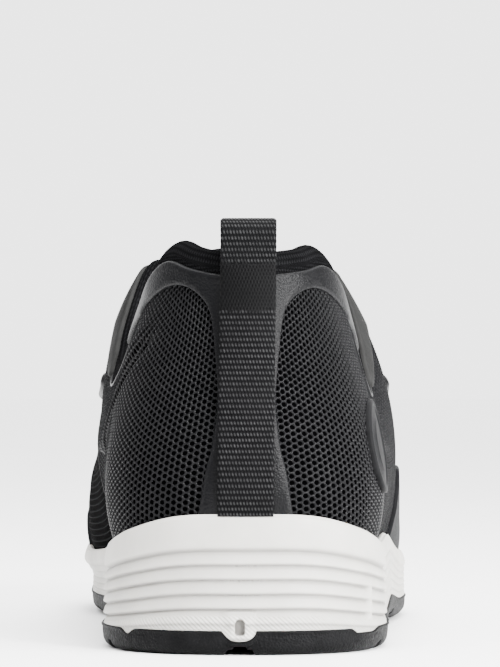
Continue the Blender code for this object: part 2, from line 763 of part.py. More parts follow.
def in_loop(x, y, loop):
    """True if a point lies inside a closed line."""
    ahead = np.roll(loop, -1, axis=0)
    spans = (loop[:, 1] > y) != (ahead[:, 1] > y)
    rise = np.where(spans, ahead[:, 1] - loop[:, 1], 1.0)
    crossing = loop[:, 0] + (y - loop[:, 1]) / rise * (ahead[:, 0] - loop[:, 0])
    return bool(np.sum(spans & (x < crossing)) % 2)


def rounded(points, steps=4):
    """A closed line through hand-picked points, smoothed between them."""
    count = len(points)
    line = []
    for i in range(count):
        p0, p1, p2, p3 = (np.array(points[(i + k - 1) % count], float) for k in range(4))
        for k in range(steps):
            t = k / steps
            line.append(
                0.5
                * (
                    2 * p1
                    + (p2 - p0) * t
                    + (2 * p0 - 5 * p1 + 4 * p2 - p3) * t**2
                    + (3 * p1 - p0 - 3 * p2 + p3) * t**3
                )
            )
    return [tuple(p) for p in line]


def above_rim(around, clearance=1.5 * GAP):
    """The up value just above the midsole's rim."""
    around = np.asarray(around, float)
    return up_at_height(around, rim_height(around) + clearance)


# The heel frame's inner edge, seen from behind: beside the webbing, over the mesh panel's round
# top and along the collar. The columns are shares of COLLAR_WIDTH across and COLLAR_HEIGHT up.
FRAME_EDGE = (
    (0.166, 0.410),
    (0.151, 0.470),
    (0.132, 0.520),
    (0.115, 0.635),
    (0.128, 0.760),
    (0.145, 0.850),
    (0.175, 0.888),
    (0.217, 0.910),
    (0.254, 0.917),
    (0.300, 0.910),
    (0.349, 0.885),
    (0.395, 0.840),
)
FRAME_TOP = 0.985
FRAME_POINT = 0.300


def seen_from_behind(across, height, lateral=1.0):
    """The (around, up) place of a point of the rear half seen from behind, found step by step."""
    around, up = lateral * 0.35 * across / 0.5, 0.9 * height
    target = np.array((lateral * across * COLLAR_WIDTH, height * COLLAR_HEIGHT))
    step = 0.001
    for _ in range(40):
        here = surface(np.array(around), np.array(up))[[0, 2]]
        by_around = (surface(np.array(around + step), np.array(up))[[0, 2]] - here) / step
        by_up = (surface(np.array(around), np.array(up + step))[[0, 2]] - here) / step
        move = np.linalg.solve(np.stack((by_around, by_up), 1), target - here)
        around += float(np.clip(move[0], -0.03, 0.03))
        up = float(np.clip(up + np.clip(move[1], -0.1, 0.1), 0.02, FRAME_TOP - 0.01))
    return abs(around), up


def build_heel_frame():
    side = rounded_open([seen_from_behind(*row) for row in FRAME_EDGE], 2)
    foot_at = side[0][0] + 0.004
    side = [(foot_at, float(above_rim(foot_at)))] + side
    bottom = [(a, float(above_rim(a))) for a in np.linspace(foot_at - 0.008, 0.008 - foot_at, 7)]
    top = [(a, FRAME_TOP) for a in np.linspace(FRAME_POINT, -FRAME_POINT, 29)]
    border = side + top + [(-a, u) for a, u in reversed(side)] + bottom[::-1]
    return patch("heel_frame", border, OVERLAY_GAP + OVERLAY, BLACK_FILM)


# The eyestay: a strip round the throat whose rear ends sweep down beside the collar's dip.
EYESTAY_HALF = (
    (0.388, 0.970),
    (0.374, 0.935),
    (0.386, 0.895),
    (0.415, 0.850),
    (0.450, 0.800),
    (0.490, 0.765),
    (0.540, 0.760),
    (0.600, 0.770),
    (0.670, 0.780),
    (0.750, 0.795),
    (0.840, 0.815),
    (0.920, 0.830),
)


def build_eyestay():
    top = [(a, FRAME_TOP) for a in np.linspace(0.393, 1.0, 34)]
    low = rounded_open(EYESTAY_HALF)
    lateral = [(a, u) for a, u in low]
    medial = [(2.0 - a, u) for a, u in reversed(low)]
    back = [(2.0 - a, u) for a, u in top[:-1]]
    border = lateral + [(1.0, 0.835)] + medial + back + top[::-1]
    return patch("eyestay", border, OVERLAY_GAP + OVERLAY, GREY_FILM)


def rounded_open(points, steps=3):
    """An open line through hand-picked points, smoothed between them."""
    padded = [points[0]] + list(points) + [points[-1]]
    line = []
    for i in range(1, len(padded) - 2):
        p0, p1, p2, p3 = (np.array(padded[i + k - 1], float) for k in range(4))
        for k in range(steps):
            t = k / steps
            line.append(
                0.5
                * (
                    2 * p1
                    + (p2 - p0) * t
                    + (2 * p0 - 5 * p1 + 4 * p2 - p3) * t**2
                    + (3 * p1 - p0 - 3 * p2 + p3) * t**3
                )
            )
    return [tuple(p) for p in line] + [points[-1]]


# The toe guard, from its lateral wing round the toe to its short medial end.
GUARD_TOP = (
    (0.500, 0.330),
    (0.560, 0.400),
    (0.640, 0.400),
    (0.720, 0.400),
    (0.800, 0.430),
    (0.880, 0.470),
    (0.950, 0.490),
    (1.000, 0.495),
    (1.050, 0.490),
    (1.110, 0.470),
    (1.170, 0.420),
    (1.225, 0.340),
    (1.270, 0.260),
)


def build_toe_guard():
    top = rounded_open(GUARD_TOP)
    first, last = GUARD_TOP[0][0], GUARD_TOP[-1][0]
    low = [(a, float(above_rim(fold(a)))) for a in np.linspace(first - 0.012, last + 0.012, 44)]
    border = top + low[::-1]
    return patch("toe_guard", border, OVERLAY_GAP + CAP_OVERLAY, BLACK_FILM)


# A small raised tab on each side of the midfoot, below the eyestay.
TAB_SIDE = (
    (0.466, 0.580),
    (0.474, 0.622),
    (0.498, 0.632),
    (0.518, 0.608),
    (0.512, 0.568),
    (0.484, 0.556),
)


def build_side_tabs():
    for side, word in ((1.0, "lateral"), (-1.0, "medial")):
        border = [(side * a, u) for a, u in rounded(TAB_SIDE, 3)]
        patch(f"side_tab_{word}", border, OVERLAY_GAP + TAB_OVERLAY, BLACK_FILM)


BADGE_CENTRE = (0.195, 0.415)
BADGE_SIDES = 24


def badge_place(reach):
    """The (around, up) places at these level and rising distances from the badge's centre."""
    start = np.array(BADGE_CENTRE)[:, None]
    centre = surface(start[0], start[1])[0]
    out = normal(start[0], start[1])[0]
    level = np.cross((0.0, 0.0, 1.0), out)
    level = level / np.linalg.norm(level)
    plane = np.stack((level, np.cross(out, level)))
    place = np.repeat(start, reach.shape[1], axis=1)
    step = 0.0005
    for _ in range(8):
        here = surface(place[0], place[1])
        miss = reach - plane @ (here - centre).T
        by_around = plane @ (surface(place[0] + step, place[1]) - here).T / step
        by_up = plane @ (surface(place[0], place[1] + step) - here).T / step
        turn = by_around[0] * by_up[1] - by_around[1] * by_up[0]
        place[0] += (miss[0] * by_up[1] - miss[1] * by_up[0]) / turn
        place[1] += (miss[1] * by_around[0] - miss[0] * by_around[1]) / turn
    return place


def build_badge():
    """A plain round badge on the lateral quarter: a dished disc with a raised lip."""
    centre = surface(*(np.array(v) for v in BADGE_CENTRE))
    angles = 2 * math.pi * np.arange(BADGE_SIDES) / BADGE_SIDES
    border = badge_place(BADGE_RADIUS * np.stack((np.cos(angles), np.sin(angles)))).T

    def dish(around, up):
        place = surface(around, up)
        far = np.linalg.norm(place - centre, axis=-1)
        return np.where(far < BADGE_RADIUS - BADGE_LIP, -BADGE_DISH, 0.0)

    high = OVERLAY_GAP + BADGE_THICKNESS
    return patch("badge", border, high, GREY_FILM, BADGE_SPACING, dish)


# Pull loop: one webbing strip up the heel, over the collar and down inside it


def build_pull_loop():
    outer_lift = OVERLAY_GAP + OVERLAY + 1.6 * GAP + WEBBING_THICKNESS / 2
    edge_around = WEBBING_WIDTH / 2 / HALVES[0][2]
    start = float(above_rim(0.0, clearance=2 * GAP))
    ups = np.linspace(start, 0.97, 10)
    zero = np.zeros(len(ups))
    outside = offset(zero, ups, np.full(len(ups), outer_lift))
    side = offset(zero + edge_around, ups, np.full(len(ups), outer_lift))
    sag = (side[:, 1] - outside[:, 1]) / side[:, 0] ** 2
    path = [(y, z, s) for (_, y, z), s in zip(outside, sag)]
    edge = surface(np.array(0.0), np.array(1.0))
    top = edge[2] + LOOP_RISE
    left = path[-1][0] + GAP
    right = edge[1] + COLLAR_PAD + LOOP_GAP + GAP + WEBBING_THICKNESS / 2
    middle, radius = (left + right) / 2, (right - left) / 2
    squash = 0.62
    arc_base = top - WEBBING_THICKNESS / 2 - radius * squash
    end_sag = path[-1][2]
    path.append((left, (path[-1][1] + arc_base) / 2, 0.55 * end_sag))
    for k in range(7):
        angle = math.pi * k / 6
        rise = radius * squash * math.sin(angle)
        path.append((middle - radius * math.cos(angle), arc_base + rise, 0.15 * end_sag))
    inner_ups = np.linspace(0.97, 0.97 - LOOP_TUCK / (0.74 * COLLAR_HEIGHT), 4)
    inner_lift = -(thickness(0.0, inner_ups) + LOOP_GAP + WEBBING_THICKNESS / 2)
    inside = offset(np.zeros(4), inner_ups, inner_lift)
    inner_side = offset(np.full(4, 1.75 * edge_around), inner_ups, inner_lift)
    inner_sag = (inner_side[:, 1] - inside[:, 1]) / inner_side[:, 0] ** 2
    path += [(y, z, s) for (_, y, z), s in zip(inside, inner_sag)]
    line = np.array([(y, z) for y, z, _ in path])
    run = np.gradient(line, axis=0)
    run = run / np.linalg.norm(run, axis=-1, keepdims=True)
    away = np.stack((-run[:, 1], run[:, 0]), -1)
    half = WEBBING_WIDTH / 2
    across = (-half, -half / 2, 0.0, half / 2, half)
    rings = []
    for face in (1, -1):
        for x in across[::face]:
            shift = line + away * face * WEBBING_THICKNESS / 2
            y = shift[:, 0] + np.array([s for _, _, s in path]) * x * x
            middle_x = COLLAR_LEAN * np.clip(shift[:, 1] / COLLAR_HEIGHT, 0, 1) ** 2
            rings.append(np.stack((middle_x + x, y, shift[:, 1]), -1))
    points = np.stack(rings, 1).reshape(-1, 3)
    width = len(rings)
    faces = ring_faces(len(path), width)
    faces.append(tuple(range(width)))
    faces.append(tuple(range((len(path) - 1) * width, len(path) * width)))
    return add_object("pull_loop", closed_mesh("pull_loop", points, faces), BLACK_WEBBING)


# Tongue: a padded strip that follows the throat just under the upper's wall

TONGUE_SPAN = (0.475, 0.80)
TONGUE_SIDE_UP = 0.88
# Rows past the throat's upper end: shares of the tongue's width, of its reach and of its rise.
TONGUE_TOP_ROWS = ((0.62, 1.0, 1.0), (0.76, 0.69, 0.80), (0.88, 0.34, 0.45))


def build_tongue():
    rows = []
    for q in [a for a in STATIONS if TONGUE_SPAN[0] < a < TONGUE_SPAN[1]]:
        line = []
        for around, up in ((q, TONGUE_SIDE_UP), (q, 0.95), (q, 1.0)):
            for side in (1, -1):
                place = np.array(side * around)
                wall = -(thickness(place, up) + TONGUE_GAP)
                line.append(offset(place, np.array(up), wall))
        lateral, medial = line[0::2], line[1::2]
        crown = (lateral[2] + medial[2]) / 2
        crown[2] += 0.06 * np.linalg.norm(lateral[2] - medial[2])
        rows.append([lateral[0], lateral[1], lateral[2], crown, medial[2], medial[1], medial[0]])
    rows = np.array(rows)
    front = rows[-1].copy()
    front[:, 1] += TONGUE_TAIL
    front[:, 2] -= TONGUE_TAIL_DROP
    extra = []
    middle_x = rows[0][3, 0]
    for narrow, back, rise in TONGUE_TOP_ROWS:
        row = rows[0].copy()
        row[:, 0] = middle_x + narrow * (row[:, 0] - middle_x)
        row[:, 1] -= back * TONGUE_TOP_REACH
        row[:, 2] += rise * TONGUE_TOP_RISE
        extra.append(row)
    rows = np.concatenate((extra, rows, [front]))
    count, across = rows.shape[:2]
    depth = np.full(count, TONGUE_THICKNESS)
    depth[-1] = 0.5 * TONGUE_THICKNESS
    depth[0] = 0.55 * TONGUE_THICKNESS
    shrink = np.array((0.45, 0.85, 1.0, 1.0, 1.0, 0.85, 0.45))
    along = np.gradient(rows, axis=0)
    sideways = np.gradient(rows, axis=1)
    down = np.cross(along, sideways)
    down = down / np.linalg.norm(down, axis=-1, keepdims=True)
    down = np.where(down[..., 2:3] > 0, -down, down)
    under = rows + down * (depth[:, None] * shrink)[..., None]
    rings = np.concatenate((rows, under[:, ::-1]), 1)
    points = rings.reshape(-1, 3)
    faces = ring_faces(count, 2 * across)
    faces.append(tuple(range(2 * across)))
    faces.append(tuple(range((count - 1) * 2 * across, count * 2 * across)))
    return add_object("tongue", closed_mesh("tongue", points, faces), BLACK_KNIT)


# Insole: a dished footbed inside the upper


def build_insole():
    inner = CUP_INSET + WALL + INSOLE_GAP
    lip = INSOLE_LIP_WIDTH
    rings = []
    for inset, height in (
        (0.0, GAP),
        (0.5 * lip, INSOLE_THICKNESS + INSOLE_LIP),
        (1.5 * lip, INSOLE_THICKNESS + INSOLE_LIP),
        (1.5 * lip + INSOLE_DISH, INSOLE_THICKNESS),
    ):
        plan = outline(STATIONS) - (inner + inset) * outward(STATIONS)
        rings.append(np.concatenate((plan, (footbed(plan[:, 1]) + height)[:, None]), -1))
    points = np.concatenate(rings)
    faces = ring_faces(len(rings), COLUMNS)
    faces += ladder_faces(0, COLUMNS)
    faces += ladder_faces((len(rings) - 1) * COLUMNS, COLUMNS)
    return add_object("insole", closed_mesh("insole", points, faces), GREY_KNIT)


# Eyelets and lace

EYELET_ROWS = (0.487, 0.522, 0.563, 0.610, 0.662, 0.720)


def eyelet_place(q, side):
    """Centre, outward direction and lengthwise direction of an eyelet on the eyestay."""
    around = np.array(side * q)
    edge = surface(around, np.array(1.0))
    lower = surface(around, np.array(0.9))
    up = 1.0 - 0.1 * EYELET_SETBACK / np.linalg.norm(edge - lower)
    centre = surface(around, np.array(up))
    out = normal(around, np.array(up))
    ahead = surface(fold(around + side * 0.01), np.array(up)) - centre
    ahead = ahead - np.dot(ahead, out) * out
    return centre, out, ahead / np.linalg.norm(ahead)


def build_eyelets():
    lift = OVERLAY_GAP + OVERLAY + GAP
    for number, q in enumerate(EYELET_ROWS, 1):
        for side, word in ((1, "lateral"), (-1, "medial")):
            centre, out, ahead = eyelet_place(q, side)
            cross = np.cross(out, ahead)
            rings = []
            for radius, height in (
                (EYELET_HOLE, lift),
                (EYELET_RADIUS, lift),
                (EYELET_RADIUS - EYELET_BEVEL, lift + EYELET_THICKNESS),
                (EYELET_HOLE + EYELET_BEVEL, lift + EYELET_THICKNESS),
            ):
                for k in range(EYELET_SIDES):
                    angle = 2 * math.pi * k / EYELET_SIDES
                    spoke = ahead * math.cos(angle) + cross * math.sin(angle)
                    rings.append(centre + spoke * radius + out * height)
            name = f"eyelet_{word}_{number}"
            mesh = closed_mesh(name, rings, ring_faces(4, EYELET_SIDES, closed=True))
            add_object(name, mesh, BLACK_FILM)


def build_lace():
    """Crossed runs of flat lace from eyelet to eyelet, joined where they cross."""
    lift = OVERLAY_GAP + OVERLAY + GAP + EYELET_THICKNESS + LACE_GAP + LACE_THICKNESS / 2
    runs = []
    for first in (1, -1):
        side = first
        stops = []
        for q in EYELET_ROWS[::-1]:
            centre, out, _ = eyelet_place(q, side)
            stops.append((centre, out))
            side = -side
        line = []
        for (a, out_a), (b, out_b) in zip(stops, stops[1:]):
            start, end = a + out_a * lift, b + out_b * lift
            chord = end - start
            leave = chord - out_a * (chord @ out_a)
            reach = chord - out_b * (chord @ out_b)
            handle_a = start + LACE_ARCH * leave
            handle_b = end - LACE_ARCH * reach
            for k in range(LACE_STEPS):
                t = k / LACE_STEPS
                place = (1 - t) ** 3 * start + 3 * (1 - t) ** 2 * t * handle_a
                place = place + 3 * (1 - t) * t**2 * handle_b + t**3 * end
                out = out_a * (1 - t) + out_b * t
                line.append((place, out / np.linalg.norm(out)))
        line.append((stops[-1][0] + stops[-1][1] * lift, stops[-1][1]))
        runs.append(lace_strip(line, "lace" if first > 0 else "lace_other"))
    apply_boolean(runs[0], [runs[1]], "UNION")
    return runs[0]


def lace_strip(line, name):
    """A flat strip with rounded edges along a line of (point, outward direction)."""
    centres = np.array([p for p, _ in line])
    outs = np.array([o for _, o in line])
    run = np.gradient(centres, axis=0)
    run = run / np.linalg.norm(run, axis=-1, keepdims=True)
    wide = np.cross(run, outs)
    wide = wide / np.linalg.norm(wide, axis=-1, keepdims=True)
    deep = np.cross(wide, run)
    half, thin = LACE_WIDTH / 2, LACE_THICKNESS / 2
    section = ((-half, 0.0), (-0.7 * half, thin), (0.7 * half, thin), (half, 0.0))
    section += ((0.7 * half, -thin), (-0.7 * half, -thin))
    rings = [centres + wide * x + deep * z for x, z in section]
    points = np.stack(rings, 1).reshape(-1, 3)
    width = len(section)
    faces = ring_faces(len(line), width)
    faces.append(tuple(range(width)))
    faces.append(tuple(range((len(line) - 1) * width, len(line) * width)))
    return add_object(name, closed_mesh(name, points, faces), BLACK_LACE)


for old in list(bpy.data.objects):
    bpy.data.objects.remove(old)
SHOE = bpy.data.objects.new("shoe", None)
bpy.context.scene.collection.objects.link(SHOE)

BLACK_RUBBER = material("black_rubber", (0.018, 0.018, 0.020), 0.62)
WHITE_FOAM = material("white_foam", (0.86, 0.86, 0.84), 0.55)
BLACK_MESH = material("black_mesh", (0.020, 0.020, 0.022), 0.60)
BLACK_FILM = material("black_film", (0.030, 0.030, 0.034), 0.42)
GREY_FILM = material("grey_film", (0.060, 0.060, 0.062), 0.45)
BLACK_WEBBING = material("black_webbing", (0.015, 0.015, 0.017), 0.75)
BLACK_KNIT = material("black_knit", (0.018, 0.018, 0.019), 0.90)
GREY_KNIT = material("grey_knit", (0.10, 0.10, 0.105), 0.90)
BLACK_LACE = material("black_lace", (0.012, 0.012, 0.013), 0.80)

build_outsole()
build_midsole()
build_upper()
build_heel_frame()
build_eyestay()
build_toe_guard()
build_side_tabs()
build_badge()
build_pull_loop()
build_tongue()
build_insole()
build_eyelets()
build_lace()

# The shoe's box is centred over the origin
bpy.context.view_layer.update()
CORNERS = np.array([part.matrix_world @ v.co for part in SHOE.children for v in part.data.vertices])
LOW, HIGH = CORNERS.min(0), CORNERS.max(0)
SHOE.location = (-(LOW[0] + HIGH[0]) / 2, -(LOW[1] + HIGH[1]) / 2, -LOW[2])
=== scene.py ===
"""Looks of the low safety trainer for the right foot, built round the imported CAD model.

Metres, +Z up, toe towards +Y. The shape's sizes, tables and curves are the CAD's own, in the
last's frame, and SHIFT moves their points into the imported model's frame.
"""

import math

import bpy
import numpy as np
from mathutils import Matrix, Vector
from mathutils.geometry import delaunay_2d_cdt


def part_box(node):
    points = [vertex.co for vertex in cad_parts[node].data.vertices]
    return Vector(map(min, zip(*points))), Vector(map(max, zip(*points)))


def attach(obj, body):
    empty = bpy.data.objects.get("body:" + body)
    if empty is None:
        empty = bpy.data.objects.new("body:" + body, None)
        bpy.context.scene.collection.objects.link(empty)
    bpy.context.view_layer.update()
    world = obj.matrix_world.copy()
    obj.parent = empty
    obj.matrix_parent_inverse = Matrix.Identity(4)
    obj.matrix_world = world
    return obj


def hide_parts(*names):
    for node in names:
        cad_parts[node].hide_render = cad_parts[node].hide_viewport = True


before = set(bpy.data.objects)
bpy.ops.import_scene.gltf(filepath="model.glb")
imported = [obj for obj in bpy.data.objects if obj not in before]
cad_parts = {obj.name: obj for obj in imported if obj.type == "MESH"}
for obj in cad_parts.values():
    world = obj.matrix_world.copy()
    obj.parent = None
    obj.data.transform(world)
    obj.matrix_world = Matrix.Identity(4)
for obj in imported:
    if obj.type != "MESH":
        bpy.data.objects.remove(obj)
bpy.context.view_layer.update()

# Driving sizes
LENGTH = 0.300
BALL_WIDTH = 0.1095
HEEL_WIDTH = 0.0855
COLLAR_HEIGHT = 0.1150
COLLAR_WIDTH = 0.076

# Sole
RUBBER = 0.0070
HEEL_STACK = 0.0240
FORE_STACK = 0.0140
TOE_SPRING = 0.0130
ARCH_LIFT = 0.0030
CUP_DEPTH = 0.0165
RIB_COUNT = 5
RIB_DEPTH = 0.0013
RIM_WALL = 0.0016
FLANGE_BULGE = 0.0004
SOLE_EDGE_ROUND = 0.0040
FORE_TUCK = 0.0030
GROOVE_DEPTH = 0.0028
GROOVE_WIDTH = 0.0035
CHANNEL_WIDTH = 0.0080
SLOT_WIDTH = 0.0022
NOTCH_OFFSET = -0.0015

# Upper
WALL = 0.0022
COLLAR_PAD = 0.0088
CUP_INSET = 0.0065
COLLAR_LEAN = 0.0010
THROAT_SWING = 0.0265
OVERLAY = 0.0008
CAP_OVERLAY = 0.0011
TAB_OVERLAY = 0.0018
TONGUE_THICKNESS = 0.0050
TONGUE_TOP_REACH = 0.0160
TONGUE_TOP_RISE = 0.0060
TONGUE_TAIL = 0.0080
TONGUE_TAIL_DROP = 0.0045
INSOLE_THICKNESS = 0.0045
INSOLE_LIP = 0.0040

# Trim
WEBBING_WIDTH = 0.0160
WEBBING_THICKNESS = 0.0014
LOOP_RISE = 0.0155
LOOP_TUCK = 0.0150
LACE_WIDTH = 0.0060
EYELET_RADIUS = 0.0038
EYELET_HOLE = 0.0022
EYELET_SETBACK = 0.0075
BADGE_RADIUS = 0.0140

# Clearances between neighbouring solids
GAP = 0.0003
OVERLAY_GAP = 0.0005
TONGUE_GAP = 0.0012
LOOP_GAP = 0.0012

# Mesh resolution
COLUMNS = 66
COLUMN_CROWDING = 0.10
OUTER_ROWS = (0.0, 0.08, 0.18, 0.30, 0.42, 0.55, 0.68, 0.80, 0.90, 1.0)

# The sole's outline, from the heel's rear end round the lateral side to the toe's tip.
# The columns are along, a share of LENGTH; side, a share of the local width; and ball, by which
# that width goes from HEEL_WIDTH (0) to BALL_WIDTH (1).
OUTLINE_LATERAL = (
    (0.000, 0.000, 0.0), (0.012, 0.235, 0.0), (0.050, 0.395, 0.0), (0.110, 0.480, 0.0),
    (0.185, 0.500, 0.0), (0.285, 0.500, 0.05), (0.385, 0.498, 0.25), (0.495, 0.488, 0.6),
    (0.595, 0.493, 0.9), (0.665, 0.496, 1.0), (0.750, 0.475, 1.0), (0.840, 0.402, 1.0),
    (0.920, 0.265, 1.0), (0.977, 0.090, 1.0), (1.000, -0.100, 1.0),
)
OUTLINE_MEDIAL = (
    (0.012, -0.235, 0.0), (0.050, -0.395, 0.0), (0.110, -0.480, 0.0), (0.185, -0.494, 0.0),
    (0.285, -0.468, 0.05), (0.385, -0.436, 0.25), (0.485, -0.424, 0.6), (0.575, -0.444, 0.9),
    (0.660, -0.484, 1.0), (0.740, -0.504, 1.0), (0.825, -0.494, 1.0), (0.910, -0.425, 1.0),
    (0.975, -0.290, 1.0),
)

# The upper's columns, from the heel's rear (around 0) to the toe's tip (around 1) on each side.
# along, across and height place the opening's edge, as shares of LENGTH, COLLAR_WIDTH and
# COLLAR_HEIGHT. The leans are degrees from upright at the sole and below level at the edge, and
# the reaches are shares of the column's chord. fan turns the edge's direction from square to the
# outline (0) to straight down the column (1). pad is the share of the collar's padding.
COLUMN_COLUMNS = (
    "around along across lateral medial low_lean low_reach high_lean high_reach fan pad"
).split()
COLUMN_TABLE = (
    (0.000, 0.031, 0.000, 0.957, 0.957, 24, 0.36, 96, 0.34, 0.0, 1.0),
    (0.050, 0.040, 0.118, 0.964, 0.964, 24, 0.36, 95, 0.34, 0.0, 1.0),
    (0.100, 0.058, 0.217, 0.974, 0.980, 25, 0.36, 92, 0.33, 0.0, 1.0),
    (0.150, 0.084, 0.292, 0.988, 1.000, 26, 0.36, 88, 0.33, 0.0, 1.0),
    (0.200, 0.118, 0.354, 0.950, 0.965, 27, 0.36, 84, 0.34, 0.0, 1.0),
    (0.250, 0.158, 0.400, 0.868, 0.882, 28, 0.35, 80, 0.35, 0.0, 1.0),
    (0.300, 0.204, 0.448, 0.768, 0.788, 28, 0.34, 76, 0.36, 0.0, 1.0),
    (0.345, 0.250, 0.490, 0.700, 0.730, 26, 0.33, 74, 0.36, 0.0, 1.0),
    (0.385, 0.291, 0.492, 0.722, 0.752, 24, 0.33, 70, 0.35, 0.0, 1.0),
    (0.420, 0.322, 0.458, 0.840, 0.855, 22, 0.32, 66, 0.34, 0.1, 0.75),
    (0.450, 0.345, 0.378, 0.985, 0.995, 20, 0.31, 60, 0.34, 0.2, 0.35),
    (0.480, 0.375, 0.300, 0.990, 0.995, 19, 0.30, 50, 0.35, 0.3, 0.0),
    (0.530, 0.430, 0.232, 0.915, 0.918, 17, 0.29, 36, 0.38, 0.5, 0.0),
    (0.590, 0.500, 0.192, 0.822, 0.825, 15, 0.26, 30, 0.38, 0.7, 0.0),
    (0.655, 0.566, 0.165, 0.728, 0.731, 13, 0.26, 25, 0.38, 0.9, 0.0),
    (0.730, 0.620, 0.138, 0.654, 0.656, 12, 0.28, 19, 0.38, 1.0, 0.0),
    (0.830, 0.645, 0.083, 0.622, 0.623, 10, 0.33, 12, 0.40, 1.0, 0.0),
    (1.000, 0.653, 0.000, 0.614, 0.614, 8, 0.35, 7, 0.45, 1.0, 0.0),
)

# How far the two handles of each column are pushed out from the shoe, as shares of BALL_WIDTH.
PUSH_COLUMNS = ("around", "lateral_low", "lateral_high", "medial_low", "medial_high")
PUSH_TABLE = (
    (0.000, 0.000, 0.000, 0.000, 0.000),
    (0.150, 0.000, 0.000, 0.000, 0.000),
    (0.300, 0.000, 0.005, 0.010, 0.010),
    (0.450, 0.030, 0.030, 0.022, 0.032),
    (0.550, 0.030, 0.020, 0.055, 0.080),
    (0.650, 0.048, 0.002, 0.075, 0.120),
    (0.750, 0.046, 0.015, 0.060, 0.105),
    (0.850, 0.035, 0.020, 0.035, 0.050),
    (1.000, 0.020, 0.000, 0.020, 0.000),
)

# The midsole's rim and its ribs. rim is the share of CUP_DEPTH that the rim stands above the
# footbed. The highest and lowest grooves between the ribs are shares of the wall from the rubber
# to the rim, deep is the share of RIB_DEPTH, and the tucks are the shares of FORE_TUCK by which
# the sole's lower wall stands in from its outline.
RIM_COLUMNS = "around rim top_groove low_groove deep lateral_tuck medial_tuck".split()
RIM_TABLE = (
    (0.000, 1.000, 0.683, 0.180, 1.00, 0.00, 0.0),
    (0.060, 0.963, 0.680, 0.178, 1.00, 0.00, 0.0),
    (0.120, 0.705, 0.672, 0.140, 1.00, 0.00, 0.0),
    (0.180, 0.448, 0.668, 0.100, 1.00, 0.00, 0.0),
    (0.250, 0.350, 0.697, 0.080, 1.00, 0.00, 0.0),
    (0.330, 0.327, 0.700, 0.080, 0.80, 0.05, 0.1),
    (0.420, 0.390, 0.700, 0.090, 0.35, 0.10, 0.5),
    (0.550, 0.497, 0.640, 0.110, 0.25, 0.20, 0.9),
    (0.700, 0.500, 0.600, 0.120, 0.25, 0.20, 1.0),
    (0.850, 0.560, 0.620, 0.120, 0.25, 0.30, 0.8),
    (1.000, 0.720, 0.660, 0.120, 0.25, 0.50, 0.5),
)

# The tread's line above the floor, seen from the side, as shares of LENGTH and of the lift named.
HEEL_FLAT = (0.045, 0.34)
ARCH_AT = 0.45
FORE_FLAT = (0.58, 0.72)
STACK_SLOPE = (0.30, 0.66)


def smoothstep(edge0, edge1, value):
    share = np.clip((value - edge0) / (edge1 - edge0), 0.0, 1.0)
    return share * share * (3.0 - 2.0 * share)


def lengths(line):
    """How far along a line each of its points lies."""
    return np.concatenate(([0.0], np.cumsum(np.linalg.norm(np.diff(line, axis=0), axis=-1))))


def at_lengths(line, length, places):
    """Points of a line at these places of its lengths."""
    return np.stack([np.interp(places, length, line[:, k]) for k in range(line.shape[1])], -1)


def spline(table, columns, name):
    """A smooth curve through one column of a table, over its first column, level at both ends."""
    knots = np.array([row[0] for row in table])
    values = np.array([row[columns.index(name)] for row in table], float)
    slopes = np.zeros(len(knots))
    slopes[1:-1] = (values[2:] - values[:-2]) / (knots[2:] - knots[:-2])
    if name == "across":
        slopes[0] = (values[1] - values[0]) / (knots[1] - knots[0])
        slopes[-1] = (values[-1] - values[-2]) / (knots[-1] - knots[-2])

    def value_at(x):
        x = np.clip(np.asarray(x, float), knots[0], knots[-1])
        i = np.clip(np.searchsorted(knots, x, side="right") - 1, 0, len(knots) - 2)
        step = knots[i + 1] - knots[i]
        t = (x - knots[i]) / step
        h00 = 2 * t**3 - 3 * t**2 + 1
        h10 = t**3 - 2 * t**2 + t
        h01 = -2 * t**3 + 3 * t**2
        h11 = t**3 - t**2
        bend = h10 * step * slopes[i] + h11 * step * slopes[i + 1]
        return h00 * values[i] + h01 * values[i + 1] + bend

    return value_at


COLUMN = {name: spline(COLUMN_TABLE, COLUMN_COLUMNS, name) for name in COLUMN_COLUMNS[1:]}
PUSH = {name: spline(PUSH_TABLE, PUSH_COLUMNS, name) for name in PUSH_COLUMNS[1:]}
RIM = {name: spline(RIM_TABLE, RIM_COLUMNS, name) for name in RIM_COLUMNS[1:]}


def outline_halves(steps=40):
    """The outline as two dense lines from heel to toe, each with its arc shares: lateral, medial."""

    def place(row):
        width = HEEL_WIDTH + (BALL_WIDTH - HEEL_WIDTH) * row[2]
        return np.array((row[1] * width, row[0] * LENGTH))

    ring = [place(row) for row in OUTLINE_LATERAL] + [place(row) for row in OUTLINE_MEDIAL[::-1]]
    count = len(ring)
    dense = []
    for i in range(count):
        p0, p1, p2, p3 = (ring[(i + k - 1) % count] for k in range(4))
        chords = [np.linalg.norm(b - a) ** 0.5 for a, b in ((p0, p1), (p1, p2), (p2, p3))]
        m1 = chords[1] * ((p1 - p0) / chords[0] - (p2 - p0) / (chords[0] + chords[1])) + (p2 - p1)
        m2 = (p2 - p1) + chords[1] * ((p3 - p2) / chords[2] - (p3 - p1) / (chords[1] + chords[2]))
        for k in range(steps):
            t = k / steps
            dense.append(
                (2 * t**3 - 3 * t**2 + 1) * p1
                + (t**3 - 2 * t**2 + t) * m1
                + (3 * t**2 - 2 * t**3) * p2
                + (t**3 - t**2) * m2
            )
    toe = (len(OUTLINE_LATERAL) - 1) * steps
    lateral = np.array(dense[: toe + 1])
    medial = np.array(dense[toe:] + [dense[0]])[::-1]
    halves = []
    for line in (lateral, medial):
        arcs = lengths(line)
        halves.append((line, arcs / arcs[-1], arcs[-1]))
    return halves


HALVES = outline_halves()


